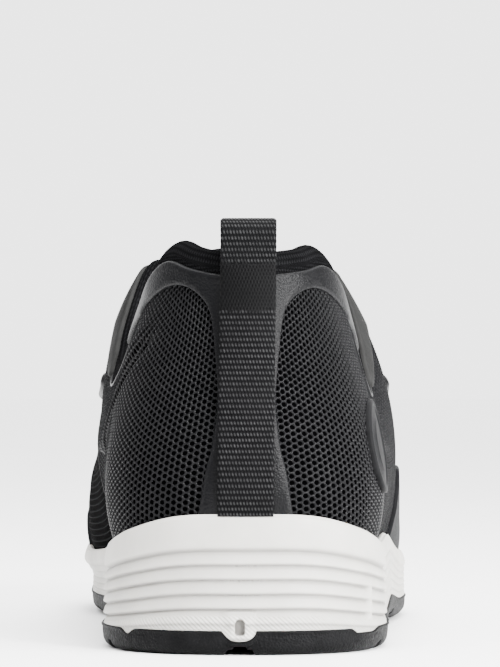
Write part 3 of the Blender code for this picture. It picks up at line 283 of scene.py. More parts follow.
def outline(around):
    """Points of the outline; around goes from 0 at the heel to 1 (lateral) or -1 (medial) at the toe."""
    around = np.asarray(around, float)
    lateral, medial = (at_lengths(line, shares, np.abs(around)) for line, shares, _ in HALVES)
    return np.where((around >= 0)[..., None], lateral, medial)


def fold(around):
    """Brings around back into -1 to 1 when a step passes the toe."""
    return (np.asarray(around, float) + 1.0) % 2.0 - 1.0


def outward(around):
    """The outline's outward direction in plan."""
    step = 0.012
    ahead = outline(fold(around + step))
    behind = outline(fold(around - step))
    run = ahead - behind
    run = run / np.linalg.norm(run, axis=-1, keepdims=True)
    return np.stack((run[..., 1], -run[..., 0]), -1)


def tread(y):
    """Height of the tread's line above the floor: flat heel, arch, flat forefoot and toe spring."""
    share = y / LENGTH
    arch = smoothstep(HEEL_FLAT[1], ARCH_AT, share) * (1 - smoothstep(ARCH_AT, FORE_FLAT[0], share))
    toe = np.clip((share - FORE_FLAT[1]) / (1 - FORE_FLAT[1]), 0, 1) ** 1.8
    return ARCH_LIFT * arch + TOE_SPRING * toe


def stack(y):
    """Height of the midsole's floor above the tread's line."""
    slope = smoothstep(STACK_SLOPE[0], STACK_SLOPE[1], y / LENGTH)
    return HEEL_STACK + (FORE_STACK - HEEL_STACK) * slope


def footbed(y):
    """Height of the midsole's floor, on which the insole lies."""
    return stack(y) + tread(y)


def column(around):
    """The four control points of the upper's columns at these places round the outline."""
    around = np.asarray(around, float)
    q = np.abs(around)
    side = np.where(around >= 0, 1.0, -1.0)
    plan = outward(around)
    foot = outline(around) - CUP_INSET * plan
    low = np.stack((foot[..., 0], foot[..., 1], footbed(foot[..., 1]) + GAP), -1)
    height = np.where(around >= 0, COLUMN["lateral"](q), COLUMN["medial"](q)) * COLLAR_HEIGHT
    along = COLUMN["along"](q) * LENGTH
    swing = COLLAR_LEAN - THROAT_SWING * along
    high = np.stack((side * COLUMN["across"](q) * COLLAR_WIDTH + swing, along, height), -1)
    chord = np.linalg.norm(high - low, axis=-1)[..., None]
    down_column = (low - high)[..., :2]
    down_column = down_column / np.linalg.norm(down_column, axis=-1, keepdims=True)
    fan = COLUMN["fan"](q)[..., None]
    heading = plan * (1 - fan) + down_column * fan
    heading = heading / np.linalg.norm(heading, axis=-1, keepdims=True)
    low_lean = np.radians(COLUMN["low_lean"](q))[..., None]
    high_lean = np.radians(COLUMN["high_lean"](q))[..., None]
    rise = np.concatenate((np.sin(low_lean) * plan, np.cos(low_lean)), -1)
    fall = np.concatenate((np.cos(high_lean) * heading, -np.sin(high_lean)), -1)
    low_push = np.where(around >= 0, PUSH["lateral_low"](q), PUSH["medial_low"](q))
    high_push = np.where(around >= 0, PUSH["lateral_high"](q), PUSH["medial_high"](q))
    level_plan = np.concatenate((plan, np.zeros(plan.shape[:-1] + (1,))), -1) * BALL_WIDTH
    low_handle = low + rise * chord * COLUMN["low_reach"](q)[..., None]
    low_handle = low_handle + level_plan * low_push[..., None]
    high_handle = high + fall * chord * COLUMN["high_reach"](q)[..., None]
    high_handle = high_handle + level_plan * high_push[..., None]
    return low, low_handle, high_handle, high


def surface(around, up):
    """Points of the upper's outer face; up is 0 at the footbed and 1 at the opening's edge."""
    p0, p1, p2, p3 = column(around)
    t = np.asarray(up, float)[..., None]
    s = 1 - t
    return s**3 * p0 + 3 * s**2 * t * p1 + 3 * s * t**2 * p2 + t**3 * p3


def normal(around, up):
    """The outer face's outward direction."""
    turn, lift = 0.004, 0.01
    ahead = surface(fold(around + turn), up)
    behind = surface(fold(around - turn), up)
    above = surface(around, np.clip(up + lift, 0, 1))
    below = surface(around, np.clip(up - lift, 0, 1))
    cross = np.cross(ahead - behind, above - below)
    return cross / np.linalg.norm(cross, axis=-1, keepdims=True)


def thickness(around, up):
    """The upper's wall, padded towards the collar."""
    pad = COLUMN["pad"](np.abs(around)) * smoothstep(0.45, 0.95, np.asarray(up, float))
    return WALL + (COLLAR_PAD - WALL) * pad


def offset(around, up, distance):
    """Points at a distance outside the upper's outer face."""
    return surface(around, up) + normal(around, up) * np.asarray(distance, float)[..., None]


def rim_above_tread(around):
    """Height of the midsole's rim above the tread's line."""
    foot = outline(around)
    return stack(foot[..., 1]) + RIM["rim"](np.abs(around)) * CUP_DEPTH


def rim_height(around):
    """Height of the midsole's rim above the floor."""
    return rim_above_tread(around) + tread(outline(around)[..., 1])


def up_at_height(around, height):
    """Where each column of the upper's outer face passes a height."""
    around = np.asarray(around, float)
    low, high = np.zeros(around.shape), np.full(around.shape, 0.6)
    for _ in range(30):
        middle = (low + high) / 2
        above = surface(around, middle)[..., 2] > height
        high = np.where(above, middle, high)
        low = np.where(above, low, middle)
    return (low + high) / 2


def stations(count):
    """Places round the outline, crowded towards the tight curves of heel and toe."""
    even = fold(np.arange(count) * 2.0 / count)
    return even - COLUMN_CROWDING * np.sin(2 * math.pi * even) / (2 * math.pi)


STATIONS = stations(COLUMNS)


def tuck(around):
    """How far the sole's lower wall stands in from its outline."""
    q = np.abs(around)
    return np.where(around >= 0, RIM["lateral_tuck"](q), RIM["medial_tuck"](q)) * FORE_TUCK


def groove_height(around, number):
    """Height above the tread's line of one of the grooves between the ribs, counted from the top."""
    q = np.abs(around)
    top, low = RIM["top_groove"](q), RIM["low_groove"](q)
    share = top + (low - top) * number / (RIB_COUNT - 1)
    return RUBBER + share * (rim_above_tread(around) - RUBBER)


def midsole_wall(around, height):
    """Plan inset of the midsole's wall at a height above the tread's line, without the ribs."""
    share = np.clip((height - RUBBER) / (rim_above_tread(around) - RUBBER), 0, 1)
    edge = rim_edge(around)
    foot = outline(around)
    lean = np.sum((foot - edge[..., :2]) * outward(around), -1)
    return lean * share**3.2 + tuck(around) * (1 - smoothstep(0.35, 0.75, share))


def rim_edge(around):
    """The outer edge of the midsole's rim, RIM_WALL outside the upper."""
    height = rim_height(around)
    up = up_at_height(around, height)
    return offset(around, up, np.full(np.shape(around), GAP + RIM_WALL))


def above_rim(around, clearance=1.5 * GAP):
    """The up value just above the midsole's rim."""
    around = np.asarray(around, float)
    return up_at_height(around, rim_height(around) + clearance)


def cubic(p0, p1, p2, p3, t):
    """A point of the smooth cubic that goes from p1 to p2 with t."""
    bend = 2 * p0 - 5 * p1 + 4 * p2 - p3
    return 0.5 * (2 * p1 + (p2 - p0) * t + bend * t**2 + (3 * p1 - p0 - 3 * p2 + p3) * t**3)


def rounded(points, closed=False, steps=6):
    """A line through given points, smoothed between them."""
    points = np.array(points, float)
    before, after = (points[-1:], points[:2]) if closed else (points[:1], points[-1:])
    padded = np.concatenate((before, points, after))
    line = []
    for i in range(len(padded) - 3):
        line += [tuple(cubic(*padded[i : i + 4], k / steps)) for k in range(steps)]
    return line if closed else line + [tuple(points[-1])]


HEEL_GROOVES = ((0.100, -0.004), (0.180, -0.004), (0.260, -0.004))
FORE_GROOVES = (
    (0.500, 0.008), (0.575, 0.008), (0.650, 0.008), (0.725, 0.008), (0.800, 0.008), (0.875, 0.008),
)
FRAME_EDGE = (
    (0.166, 0.410), (0.151, 0.470), (0.132, 0.520), (0.115, 0.635), (0.128, 0.760), (0.145, 0.850),
    (0.175, 0.888), (0.217, 0.910), (0.254, 0.917), (0.300, 0.910), (0.349, 0.885), (0.395, 0.840),
)
FRAME_TOP = 0.985
FRAME_POINT = 0.300
EYESTAY_HALF = (
    (0.388, 0.970), (0.374, 0.935), (0.386, 0.895), (0.415, 0.850), (0.450, 0.800), (0.490, 0.765),
    (0.540, 0.760), (0.600, 0.770), (0.670, 0.780), (0.750, 0.795), (0.840, 0.815), (0.920, 0.830),
)
GUARD_TOP = (
    (0.500, 0.330), (0.560, 0.400), (0.640, 0.400), (0.720, 0.400), (0.800, 0.430), (0.880, 0.470),
    (0.950, 0.490), (1.000, 0.495), (1.050, 0.490), (1.110, 0.470), (1.170, 0.420), (1.225, 0.340),
    (1.270, 0.260),
)
TAB_SIDE = (
    (0.466, 0.580), (0.474, 0.622), (0.498, 0.632), (0.518, 0.608), (0.512, 0.568), (0.484, 0.556),
)
EYELET_ROWS = (0.487, 0.522, 0.563, 0.610, 0.662, 0.720)
TONGUE_SPAN = (0.475, 0.80)
TONGUE_SIDE_UP = 0.88
TONGUE_TOP_ROWS = ((0.62, 1.0, 1.0), (0.76, 0.69, 0.80), (0.88, 0.34, 0.45))
BADGE_CENTRE = (0.195, 0.415)


def seen_from_behind(across, height):
    """The (around, up) place of a point of the rear half seen from behind, found step by step."""
    around, up = 0.35 * across / 0.5, 0.9 * height
    target = np.array((across * COLLAR_WIDTH, height * COLLAR_HEIGHT))
    step = 0.001
    for _ in range(40):
        here = surface(np.array(around), np.array(up))[[0, 2]]
        by_around = (surface(np.array(around + step), np.array(up))[[0, 2]] - here) / step
        by_up = (surface(np.array(around), np.array(up + step))[[0, 2]] - here) / step
        move = np.linalg.solve(np.stack((by_around, by_up), 1), target - here)
        around += float(np.clip(move[0], -0.03, 0.03))
        up = float(np.clip(up + np.clip(move[1], -0.1, 0.1), 0.02, FRAME_TOP - 0.01))
    return abs(around), up


def badge_place(reach):
    """The (around, up) places at these level and rising distances from the badge's centre."""
    start = np.array(BADGE_CENTRE)[:, None]
    centre = surface(start[0], start[1])[0]
    out = normal(start[0], start[1])[0]
    level = np.cross((0.0, 0.0, 1.0), out)
    level = level / np.linalg.norm(level)
    plane = np.stack((level, np.cross(out, level)))
    place = np.repeat(start, reach.shape[1], axis=1)
    step = 0.0005
    for _ in range(8):
        here = surface(place[0], place[1])
        miss = reach - plane @ (here - centre).T
        by_around = plane @ (surface(place[0] + step, place[1]) - here).T / step
        by_up = plane @ (surface(place[0], place[1] + step) - here).T / step
        turn = by_around[0] * by_up[1] - by_around[1] * by_up[0]
        place[0] += (miss[0] * by_up[1] - miss[1] * by_up[0]) / turn
        place[1] += (miss[1] * by_around[0] - miss[0] * by_around[1]) / turn
    return place


# Meshes from arrays


def packed_shift():
    """From the last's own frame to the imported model's, found from the upper's box."""
    around, up = np.meshgrid(STATIONS, OUTER_ROWS, indexing="ij")
    points = surface(around, up).reshape(-1, 3)
    low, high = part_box("upper")
    middle = (points.min(0) + points.max(0)) / 2
    return np.array(((low[0] + high[0]) / 2 - middle[0], (low[1] + high[1]) / 2 - middle[1], 0.0))


SHIFT = packed_shift()
SIDES = ((1, "lateral"), (-1, "medial"))


def grid_faces(rows, columns, close_rows=False, close_columns=False, start=0):
    """Quads of a grid of points numbered row after row."""
    r = np.arange(rows if close_rows else rows - 1)
    c = np.arange(columns if close_columns else columns - 1)
    r, c = np.meshgrid(r, c, indexing="ij")
    r2, c2 = (r + 1) % rows, (c + 1) % columns
    quads = np.stack((r * columns + c, r * columns + c2, r2 * columns + c2, r2 * columns + c), -1)
    return start + quads.reshape(-1, 4)


def new_mesh(name, points, faces, uv, period=None):
    """A mesh whose faces already point the right way. period closes a uv that runs round the shoe."""
    mesh = bpy.data.meshes.new(name)
    loops = np.concatenate([f.ravel() for f in faces]).astype(np.int32)
    totals = np.concatenate([np.full(len(f), f.shape[1]) for f in faces])
    starts = np.concatenate(([0], np.cumsum(totals)[:-1])).astype(np.int32)
    mesh.vertices.add(len(points))
    mesh.vertices.foreach_set("co", (points + SHIFT).astype(np.float32).ravel())
    mesh.loops.add(len(loops))
    mesh.loops.foreach_set("vertex_index", loops)
    mesh.polygons.add(len(starts))
    mesh.polygons.foreach_set("loop_start", starts)
    mesh.update(calc_edges=True)
    corner = np.asarray(uv, float).reshape(-1, 2)[loops]
    if period:
        owner = np.repeat(np.arange(len(starts)), totals)
        highest = np.maximum.reduceat(corner[:, 0], starts)[owner]
        corner[:, 0] += np.where(highest - corner[:, 0] > period / 2, period, 0.0)
    layer = mesh.uv_layers.new(name="UVMap")
    layer.data.foreach_set("uv", corner.astype(np.float32).ravel())
    mesh.validate()
    return mesh


def facing(points, faces, out):
    """How far faces point along the outward directions of their first points, summed."""
    a, b, c = (points[faces[:, k]] for k in range(3))
    return float(np.sum(np.cross(b - a, c - a) * out[faces[:, 0]]))


def build_mesh(name, points, faces, uv, period=None, out=None):
    """A mesh from points and arrays of faces. out gives each point's outward direction; without it
    the mesh is closed, and its faces are turned by its volume."""
    points = np.asarray(points, float).reshape(-1, 3)
    faces = [np.asarray(f, np.int64) for f in faces]
    size = 0.0
    for f in faces:
        if out is not None:
            size += facing(points, f, np.reshape(out, (-1, 3)))
            continue
        for k in range(1, f.shape[1] - 1):
            size += float(np.sum(points[f[:, 0]] * np.cross(points[f[:, k]], points[f[:, k + 1]])))
    if size < 0:
        faces = [f[:, ::-1] for f in faces]
    return new_mesh(name, points, faces, uv, period)


def link_new(name, data):
    """A new object in the scene."""
    made = bpy.data.objects.new(name, data)
    bpy.context.scene.collection.objects.link(made)
    return made


def add_piece(name, mesh, materials, replaces=()):
    """Puts a mesh in the scene as a piece of the shoe."""
    for finish in materials:
        mesh.materials.append(finish)
    mesh.shade_smooth()
    made = link_new(name, mesh)
    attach(made, "root")
    if replaces:
        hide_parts(*replaces)
    return made


def set_slots(mesh, slots):
    mesh.polygons.foreach_set("material_index", np.asarray(slots, np.int32))


def add_value(mesh, name, values):
    """A number for each point, for the materials."""
    made = mesh.attributes.new(name, "FLOAT", "POINT")
    made.data.foreach_set("value", np.asarray(values, np.float32))


def smooth_line(points, count):
    """A denser line through points, evenly spaced by length, on a smooth cubic."""
    points = np.asarray(points, float)
    first, last = 2 * points[0] - points[1], 2 * points[-1] - points[-2]
    padded = np.concatenate((first[None], points, last[None]))
    t = np.linspace(0, 1, 12, endpoint=False)[:, None]
    line = [cubic(*padded[i : i + 4], t) for i in range(len(padded) - 3)]
    line = np.concatenate(line + [padded[-2][None]])
    length = lengths(line)
    return at_lengths(line, length, np.linspace(0, length[-1], count))


def unit(v):
    return v / np.maximum(np.linalg.norm(v, axis=-1, keepdims=True), 1e-12)


# The upper's face laid flat: u runs round the shoe at mid height, v up each column, in metres

FLAT_COLUMNS = 720
FLAT_ROWS = 60
AROUND_LINE = np.linspace(-1, 1, FLAT_COLUMNS + 1)
UP_LINE = np.linspace(0, 1, FLAT_ROWS + 1)
FLAT_GRID = surface(*np.meshgrid(AROUND_LINE, UP_LINE, indexing="ij"))
RISE = np.linalg.norm(np.diff(FLAT_GRID, axis=1), axis=-1)
ARC = np.concatenate((np.zeros((FLAT_COLUMNS + 1, 1)), np.cumsum(RISE, axis=1)), 1)
U_LINE = lengths(FLAT_GRID[:, FLAT_ROWS // 2])
U_LINE = U_LINE - np.interp(0.0, AROUND_LINE, U_LINE)
U_SPAN = U_LINE[-1] - U_LINE[0]
SHARES = np.linspace(0, 1, 121)
UP_TABLE = np.array([np.interp(SHARES, arc / arc[-1], UP_LINE) for arc in ARC])
BORDER_STEP = 0.008


def look_up(table, a, b):
    """A table's value between its entries; a and b count rows and columns."""
    a = np.clip(a, 0, table.shape[0] - 1.000001)
    b = np.clip(b, 0, table.shape[1] - 1.000001)
    i, j = a.astype(int), b.astype(int)
    p, q = a - i, b - j
    low = table[i, j] * (1 - q) + table[i, j + 1] * q
    high = table[i + 1, j] * (1 - q) + table[i + 1, j + 1] * q
    return low * (1 - p) + high * p


def to_flat(around, up):
    """The flat points of (around, up) places; around may run past the toe."""
    around, up = np.asarray(around, float), np.asarray(up, float)
    turns = np.floor((around + 1) / 2)
    local = around - 2 * turns
    u = np.interp(local, AROUND_LINE, U_LINE) + turns * U_SPAN
    v = look_up(ARC, (local + 1) / 2 * FLAT_COLUMNS, up * FLAT_ROWS)
    return np.stack((u, v), -1)


def flat_line(rows, side=1):
    """A line of (around, up) points of one side laid flat."""
    rows = np.array(rows, float)
    return to_flat(side * rows[:, 0], rows[:, 1])


def from_flat(flat):
    """The (around, up) places of flat points; around is folded into -1 to 1."""
    turns = np.floor((flat[..., 0] - U_LINE[0]) / U_SPAN)
    around = np.interp(flat[..., 0] - turns * U_SPAN, U_LINE, AROUND_LINE)
    row = (around + 1) / 2 * FLAT_COLUMNS
    length = np.interp(around, AROUND_LINE, ARC[:, -1])
    share = np.clip(flat[..., 1] / length, 0, 1)
    up = look_up(UP_TABLE, row, share * (len(SHARES) - 1))
    return around, up


# Shares of a fold's width and depth: the fold itself and the cloth pushed up beside it
FOLD_WIDTH = 0.62
PUFF_HEIGHT = 0.55
PUFF_WIDTH = 1.5
# Folds pressed into the upper: side, depth, width and the line's (around, up) points
CREASES = (
    (-1, 0.0030, 0.0046, ((0.135, 0.785), (0.170, 0.735), (0.205, 0.690), (0.250, 0.635),
                          (0.300, 0.580), (0.350, 0.530), (0.400, 0.470), (0.430, 0.400))),
    (1, 0.0007, 0.0045, ((0.225, 0.760), (0.280, 0.700), (0.330, 0.640), (0.375, 0.560), (0.405, 0.470))),
    (-1, 0.0008, 0.0040, ((0.640, 0.300), (0.655, 0.450), (0.680, 0.600), (0.710, 0.720))),
    (-1, 0.0006, 0.0040, ((0.715, 0.420), (0.735, 0.560), (0.770, 0.680), (0.820, 0.740))),
    (1, 0.0008, 0.0040, ((0.645, 0.330), (0.665, 0.470), (0.690, 0.610), (0.720, 0.720))),
    (1, 0.0006, 0.0040, ((0.720, 0.440), (0.745, 0.570), (0.780, 0.680), (0.830, 0.745))),
)


def crease_lines():
    lines = []
    for side, depth, width, rows in CREASES:
        line = smooth_line(flat_line(rows, side), 48)
        lines.append((side, depth, width, line))
    return lines


def crease_height(flat):
    """How far the folds move flat points of the upper: down in the fold, up before it."""
    flat = np.asarray(flat, float)
    spots = flat.reshape(-1, 2)
    total = np.zeros(len(spots))
    for side, depth, width, line in CREASE_LINES:
        run = unit(np.gradient(line, axis=0))
        near = np.all((spots > line.min(0) - 5 * width) & (spots < line.max(0) + 5 * width), axis=1)
        for k in np.array_split(np.flatnonzero(near), max(1, near.sum() // 4000)):
            if not len(k):
                continue
            gap = spots[k][:, None] - line[None]
            far2 = np.sum(gap * gap, -1)
            at = np.argmin(far2, 1)
            far = np.sqrt(far2[np.arange(len(k)), at])
            d = gap[np.arange(len(k)), at]
            cross = run[at, 0] * d[:, 1] - run[at, 1] * d[:, 0]
            ahead = np.where(cross * side > 0, 1.0, 0.0)
            t = at / (len(line) - 1)
            fade = smoothstep(0.0, 0.22, t) * (1 - smoothstep(0.80, 1.0, t))
            ends = np.where((at == 0) | (at == len(line) - 1), np.exp(-((far / width) ** 2)), 1.0)
            fold_shape = -np.exp(-((far / (FOLD_WIDTH * width)) ** 2))
            puff = PUFF_HEIGHT * far / width * np.exp(-((far / (PUFF_WIDTH * width)) ** 2))
            total[k] += depth * fade * ends * (fold_shape + puff * (0.6 + 0.8 * ahead))
    return total.reshape(flat.shape[:-1])


def lifted(flat, height):
    """Points in space, a height outside the upper's face, and the face's outward direction."""
    around, up = from_flat(flat)
    out = normal(around, up)
    height = np.asarray(height, float) + crease_height(flat)
    return surface(around, up) + out * height[..., None], out


CREASE_LINES = crease_lines()


def inside(points, loop):
    """Which flat points lie inside a closed loop."""
    x, y = points[:, 0][:, None], points[:, 1][:, None]
    ahead = np.roll(loop, -1, axis=0)
    spans = (loop[None, :, 1] > y) != (ahead[None, :, 1] > y)
    rise = np.where(ahead[:, 1] == loop[:, 1], 1.0, ahead[:, 1] - loop[:, 1])
    crossing = loop[None, :, 0] + (y - loop[None, :, 1]) / rise * (ahead[:, 0] - loop[:, 0])
    return np.sum(spans & (x < crossing), 1) % 2 == 1


def far_from(points, loop):
    """Distance of flat points from a closed loop."""
    a = loop
    b = np.roll(loop, -1, axis=0)
    run = b - a
    size = np.maximum(np.sum(run * run, 1), 1e-18)
    best = np.full(len(points), 1e9)
    for k in range(0, len(points), 2000):
        p = points[k : k + 2000][:, None]
        t = np.clip(np.sum((p - a) * run, 2) / size, 0, 1)
        gap = p - (a + run * t[..., None])
        best[k : k + 2000] = np.sqrt(np.min(np.sum(gap * gap, 2), 1))
    return best


def evenly(loop, step):
    """A closed loop with evenly spaced points, anticlockwise."""
    ahead = np.roll(loop, -1, axis=0)
    if np.sum(loop[:, 0] * ahead[:, 1] - loop[:, 1] * ahead[:, 0]) < 0:
        loop = loop[::-1]
    shut = np.concatenate((loop, loop[:1]))
    length = lengths(shut)
    count = max(12, round(length[-1] / step))
    return at_lengths(shut, length, np.linspace(0, length[-1], count, endpoint=False))


def flat_border(border):
    """A border of (around, up) points as a flat loop; around may run past the toe."""
    border = np.array(border, float)
    line = []
    for a, b in zip(border, np.roll(border, -1, 0)):
        count = max(1, math.ceil(abs(b[0] - a[0]) / BORDER_STEP))
        line += [a + (b - a) * k / count for k in range(count)]
    return flat_line(line)


# A film's rounded edge: pairs of distance from its border and share of its height
FILM_EDGE = ((0.0, 0.42), (0.00010, 0.66), (0.00028, 0.88), (0.00055, 1.0))
FILM_STEP = 0.0009
FILM_SINK = 0.0002
BEAD_HEIGHT = 0.0005
BEAD_SIDES = 9


def film(name, loop, height, finish, solid, spacing=0.0016, edge=FILM_EDGE):
    """A moulded film on the upper inside a flat loop, with a rounded edge and a wall down its rim."""
    loop = evenly(loop, FILM_STEP)
    run = unit(np.roll(loop, -1, 0) - np.roll(loop, 1, 0))
    inward = np.stack((-run[:, 1], run[:, 0]), -1)
    points = [loop]
    for reach, _ in edge[1:]:
        ring = loop + inward * reach
        points.append(ring[far_from(ring, loop) > 0.96 * reach])
    lo, hi = loop.min(0), loop.max(0)
    x, y = np.meshgrid(np.arange(lo[0], hi[0], spacing), np.arange(lo[1], hi[1], spacing))
    grid = np.stack((x.ravel(), y.ravel()), -1)
    grid = grid[inside(grid, loop)]
    points.append(grid[far_from(grid, loop) > edge[-1][0] + 0.45 * spacing])
    borders = [(i, (i + 1) % len(loop)) for i in range(len(loop))]
    flat = [Vector(p) for p in np.concatenate(points)]
    flat, _, faces, *_ = delaunay_2d_cdt(flat, borders, [], 1, 1e-8)
    flat = np.array([tuple(v) for v in flat])
    faces = np.array([f for f in faces if len(f) == 3])
    reach = far_from(flat, loop)
    top, out = lifted(flat, np.interp(reach, [d for d, _ in edge], [h for _, h in edge]) * height)
    if facing(top, faces, out) < 0:
        faces = faces[:, ::-1]
    rim = np.flatnonzero(reach < 1e-7)
    order = rim[np.argsort([np.argmin(np.sum((loop - flat[i]) ** 2, 1)) for i in rim])]
    foot, _ = lifted(flat[order], np.full(len(order), -FILM_SINK))
    directed = {(int(f[k]), int(f[(k + 1) % 3])) for f in faces for k in range(3)}
    wall = []
    for k in range(len(order)):
        after = (k + 1) % len(order)
        quad = (int(order[k]), int(order[after]), len(flat) + after, len(flat) + k)
        wall.append((quad[1], quad[0], quad[3], quad[2]) if quad[:2] in directed else quad)
    uv = np.concatenate((flat, flat[order]))
    mesh = new_mesh(name, np.concatenate((top, foot)), [faces, np.array(wall)], uv)
    add_value(mesh, "reach", np.concatenate((reach, np.zeros(len(order)))))
    add_piece(name, mesh, [finish], [solid])


def bead(name, line, normals, width):
    """A low half-round cord along a line of points, lying on a surface."""
    across = unit(np.cross(unit(np.gradient(line, axis=0)), normals))
    rings, outs = [], []
    for angle in np.linspace(0, math.pi, BEAD_SIDES):
        side, rise = across * math.cos(angle), normals * math.sin(angle)
        rings.append(line + side * (width / 2) + rise * BEAD_HEIGHT)
        outs.append(side + rise)
    uv = np.stack(np.meshgrid(lengths(line), np.linspace(0, width, BEAD_SIDES), indexing="ij"), -1)
    faces = grid_faces(len(line), BEAD_SIDES)
    mesh = build_mesh(name, np.stack(rings, 1), [faces], uv, None, np.stack(outs, 1))
    add_piece(name, mesh, [CELL_FILM])


# Materials

CLOTH_LEVEL = 0.002
RIB_PITCH = 0.0021
THREAD_PITCH = 0.0013


def new_material(name, colour, roughness, **sockets):
    """A Principled material, its node tree and its shader."""
    made = bpy.data.materials.new(name)
    made.use_nodes = True
    shader = made.node_tree.nodes["Principled BSDF"]
    shader.inputs["Base Color"].default_value = (*colour, 1.0)
    shader.inputs["Roughness"].default_value = roughness
    for key, value in sockets.items():
        shader.inputs[key.replace("_", " ")].default_value = value
    return made, made.node_tree, shader


def put(tree, kind, inputs=None, **settings):
    """Adds a node. Inputs are values or the sockets that feed them."""
    made = tree.nodes.new(kind)
    for key, value in settings.items():
        setattr(made, key, value)
    for key, value in (inputs or {}).items():
        if isinstance(value, bpy.types.NodeSocket):
            tree.links.new(value, made.inputs[key])
        else:
            made.inputs[key].default_value = value
    return made


def place_of(tree, kind="Object"):
    return put(tree, "ShaderNodeTexCoord").outputs[kind]


def noise(tree, where, size, detail=3.0, rough=0.55):
    made = put(tree, "ShaderNodeTexNoise", {"Vector": where, "Scale": 1 / size, "Detail": detail})
    made.inputs["Roughness"].default_value = rough
    return made.outputs["Fac"]


def cells(tree, where, size):
    made = put(tree, "ShaderNodeTexVoronoi", {"Vector": where, "Scale": 1 / size})
    return made.outputs["Distance"]


def calc(tree, operation, a, b=0.0, clamp=False):
    made = put(tree, "ShaderNodeMath", operation=operation, use_clamp=clamp)
    for socket, value in zip(made.inputs, (a, b, 0.0)):
        if isinstance(value, bpy.types.NodeSocket):
            tree.links.new(value, socket)
        else:
            socket.default_value = value
    return made.outputs[0]


def spread(tree, value, low, high, to_low, to_high):
    made = put(tree, "ShaderNodeMapRange", {"Value": value, "From Min": low, "From Max": high})
    made.inputs["To Min"].default_value = to_low
    made.inputs["To Max"].default_value = to_high
    return made.outputs[0]


def blend_colour(tree, share, low, high):
    made = put(tree, "ShaderNodeMix", data_type="RGBA")
    for socket, value in ((made.inputs[0], share), (made.inputs[6], low), (made.inputs[7], high)):
        if isinstance(value, bpy.types.NodeSocket):
            tree.links.new(value, socket)
        elif isinstance(value, tuple):
            socket.default_value = (*value, 1.0)
        else:
            socket.default_value = value
    return made.outputs[2]


def bump(tree, shader, *layers):
    """Bump layers of (height socket, depth in metres, strength), one on the other."""
    last = None
    for height, depth, strength in layers:
        made = put(tree, "ShaderNodeBump", {"Height": height, "Distance": depth, "Strength": strength})
        if last is not None:
            tree.links.new(last, made.inputs["Normal"])
        last = made.outputs["Normal"]
    tree.links.new(last, shader.inputs["Normal"])


def split_uv(tree):
    made = put(tree, "ShaderNodeSeparateXYZ", {"Vector": place_of(tree, "UV")})
    return made.outputs["X"], made.outputs["Y"]


def attribute(tree, name):
    return put(tree, "ShaderNodeAttribute", attribute_name=name).outputs["Fac"]


def times(tree, a, b):
    return calc(tree, "MULTIPLY", a, b)


def plus(tree, a, b):
    return calc(tree, "ADD", a, b)


def stripes(tree, value):
    """Rises from 0 to 1 and falls back for each whole step of a value."""
    return times(tree, calc(tree, "PINGPONG", value, 0.5), 2.0)


def stagger(tree, row):
    """Half a step for every second row."""
    return times(tree, calc(tree, "FLOORED_MODULO", calc(tree, "FLOOR", row), 2.0), 0.5)


def off_middle(tree, value, weight):
    """The weighted square of a value's distance from the middle of its whole step."""
    gap = calc(tree, "SUBTRACT", calc(tree, "FRACT", value), 0.5)
    return times(tree, times(tree, gap, gap), weight)


def scaled(colour, factor):
    return tuple(factor * c for c in colour)


def wire(tree, shader, shade, rough, *layers):
    """Feeds a shader's colour, its roughness and its bump layers."""
    tree.links.new(shade, shader.inputs["Base Color"])
    if rough is not None:
        tree.links.new(rough, shader.inputs["Roughness"])
    bump(tree, shader, *layers)


def film_material(name, colour, roughness, grain, depth, level):
    """Moulded film: fine pebble grain, slow changes of sheen and paler worn edges."""
    made, tree, shader = new_material(name, colour, roughness, Specular_IOR_Level=level)
    where = place_of(tree)
    pebble = cells(tree, where, grain)
    cloud = noise(tree, where, 0.02)
    fine = noise(tree, where, grain * 0.4, 2.0)
    worn = spread(tree, attribute(tree, "reach"), 0.0, 0.0012, 1.0, 0.0)
    worn = times(tree, worn, noise(tree, where, 0.003))
    pale = tuple(1.5 * c + 0.006 for c in colour)
    shade = blend_colour(tree, spread(tree, cloud, 0.35, 0.7, 0.0, 0.5), colour, scaled(colour, 1.35))
    rough = spread(tree, cloud, 0.3, 0.7, roughness - 0.05, roughness + 0.05)
    rough = plus(tree, rough, spread(tree, pebble, 0.0, 0.7, -0.03, 0.05))
    layers = ((pebble, depth, 0.6), (fine, depth * 0.5, 0.5))
    wire(tree, shader, blend_colour(tree, worn, shade, pale), rough, *layers)
    return made


def knit_material(name, colour, pitch, contrast=0.5):
    """Soft knit: staggered loops along the piece's own directions, with fuzz and a dull sheen."""
    made, tree, shader = new_material(name, colour, 0.92, Specular_IOR_Level=CLOTH_LEVEL)
    u, v = split_uv(tree)
    row = times(tree, v, 1 / pitch)
    lean = times(tree, calc(tree, "PINGPONG", row, 0.5), 0.35)
    along = plus(tree, times(tree, u, 1 / (1.2 * pitch)), plus(tree, stagger(tree, row), lean))
    far = plus(tree, off_middle(tree, along, 3.4), off_middle(tree, row, 4.2))
    loop = calc(tree, "SUBTRACT", 1.0, far, clamp=True)
    where = place_of(tree)
    fuzz = noise(tree, where, pitch * 0.25, 4.0, 0.7)
    cloud = noise(tree, where, 0.012)
    share = plus(tree, times(tree, loop, contrast), spread(tree, cloud, 0.3, 0.7, -0.15, 0.2))
    shade = blend_colour(tree, share, scaled(colour, 0.45), scaled(colour, 1.5))
    rough = spread(tree, fuzz, 0.2, 0.8, 0.8, 1.0)
    wire(tree, shader, shade, rough, (loop, pitch * 0.35, 0.8), (fuzz, pitch * 0.12, 0.6))
    return made


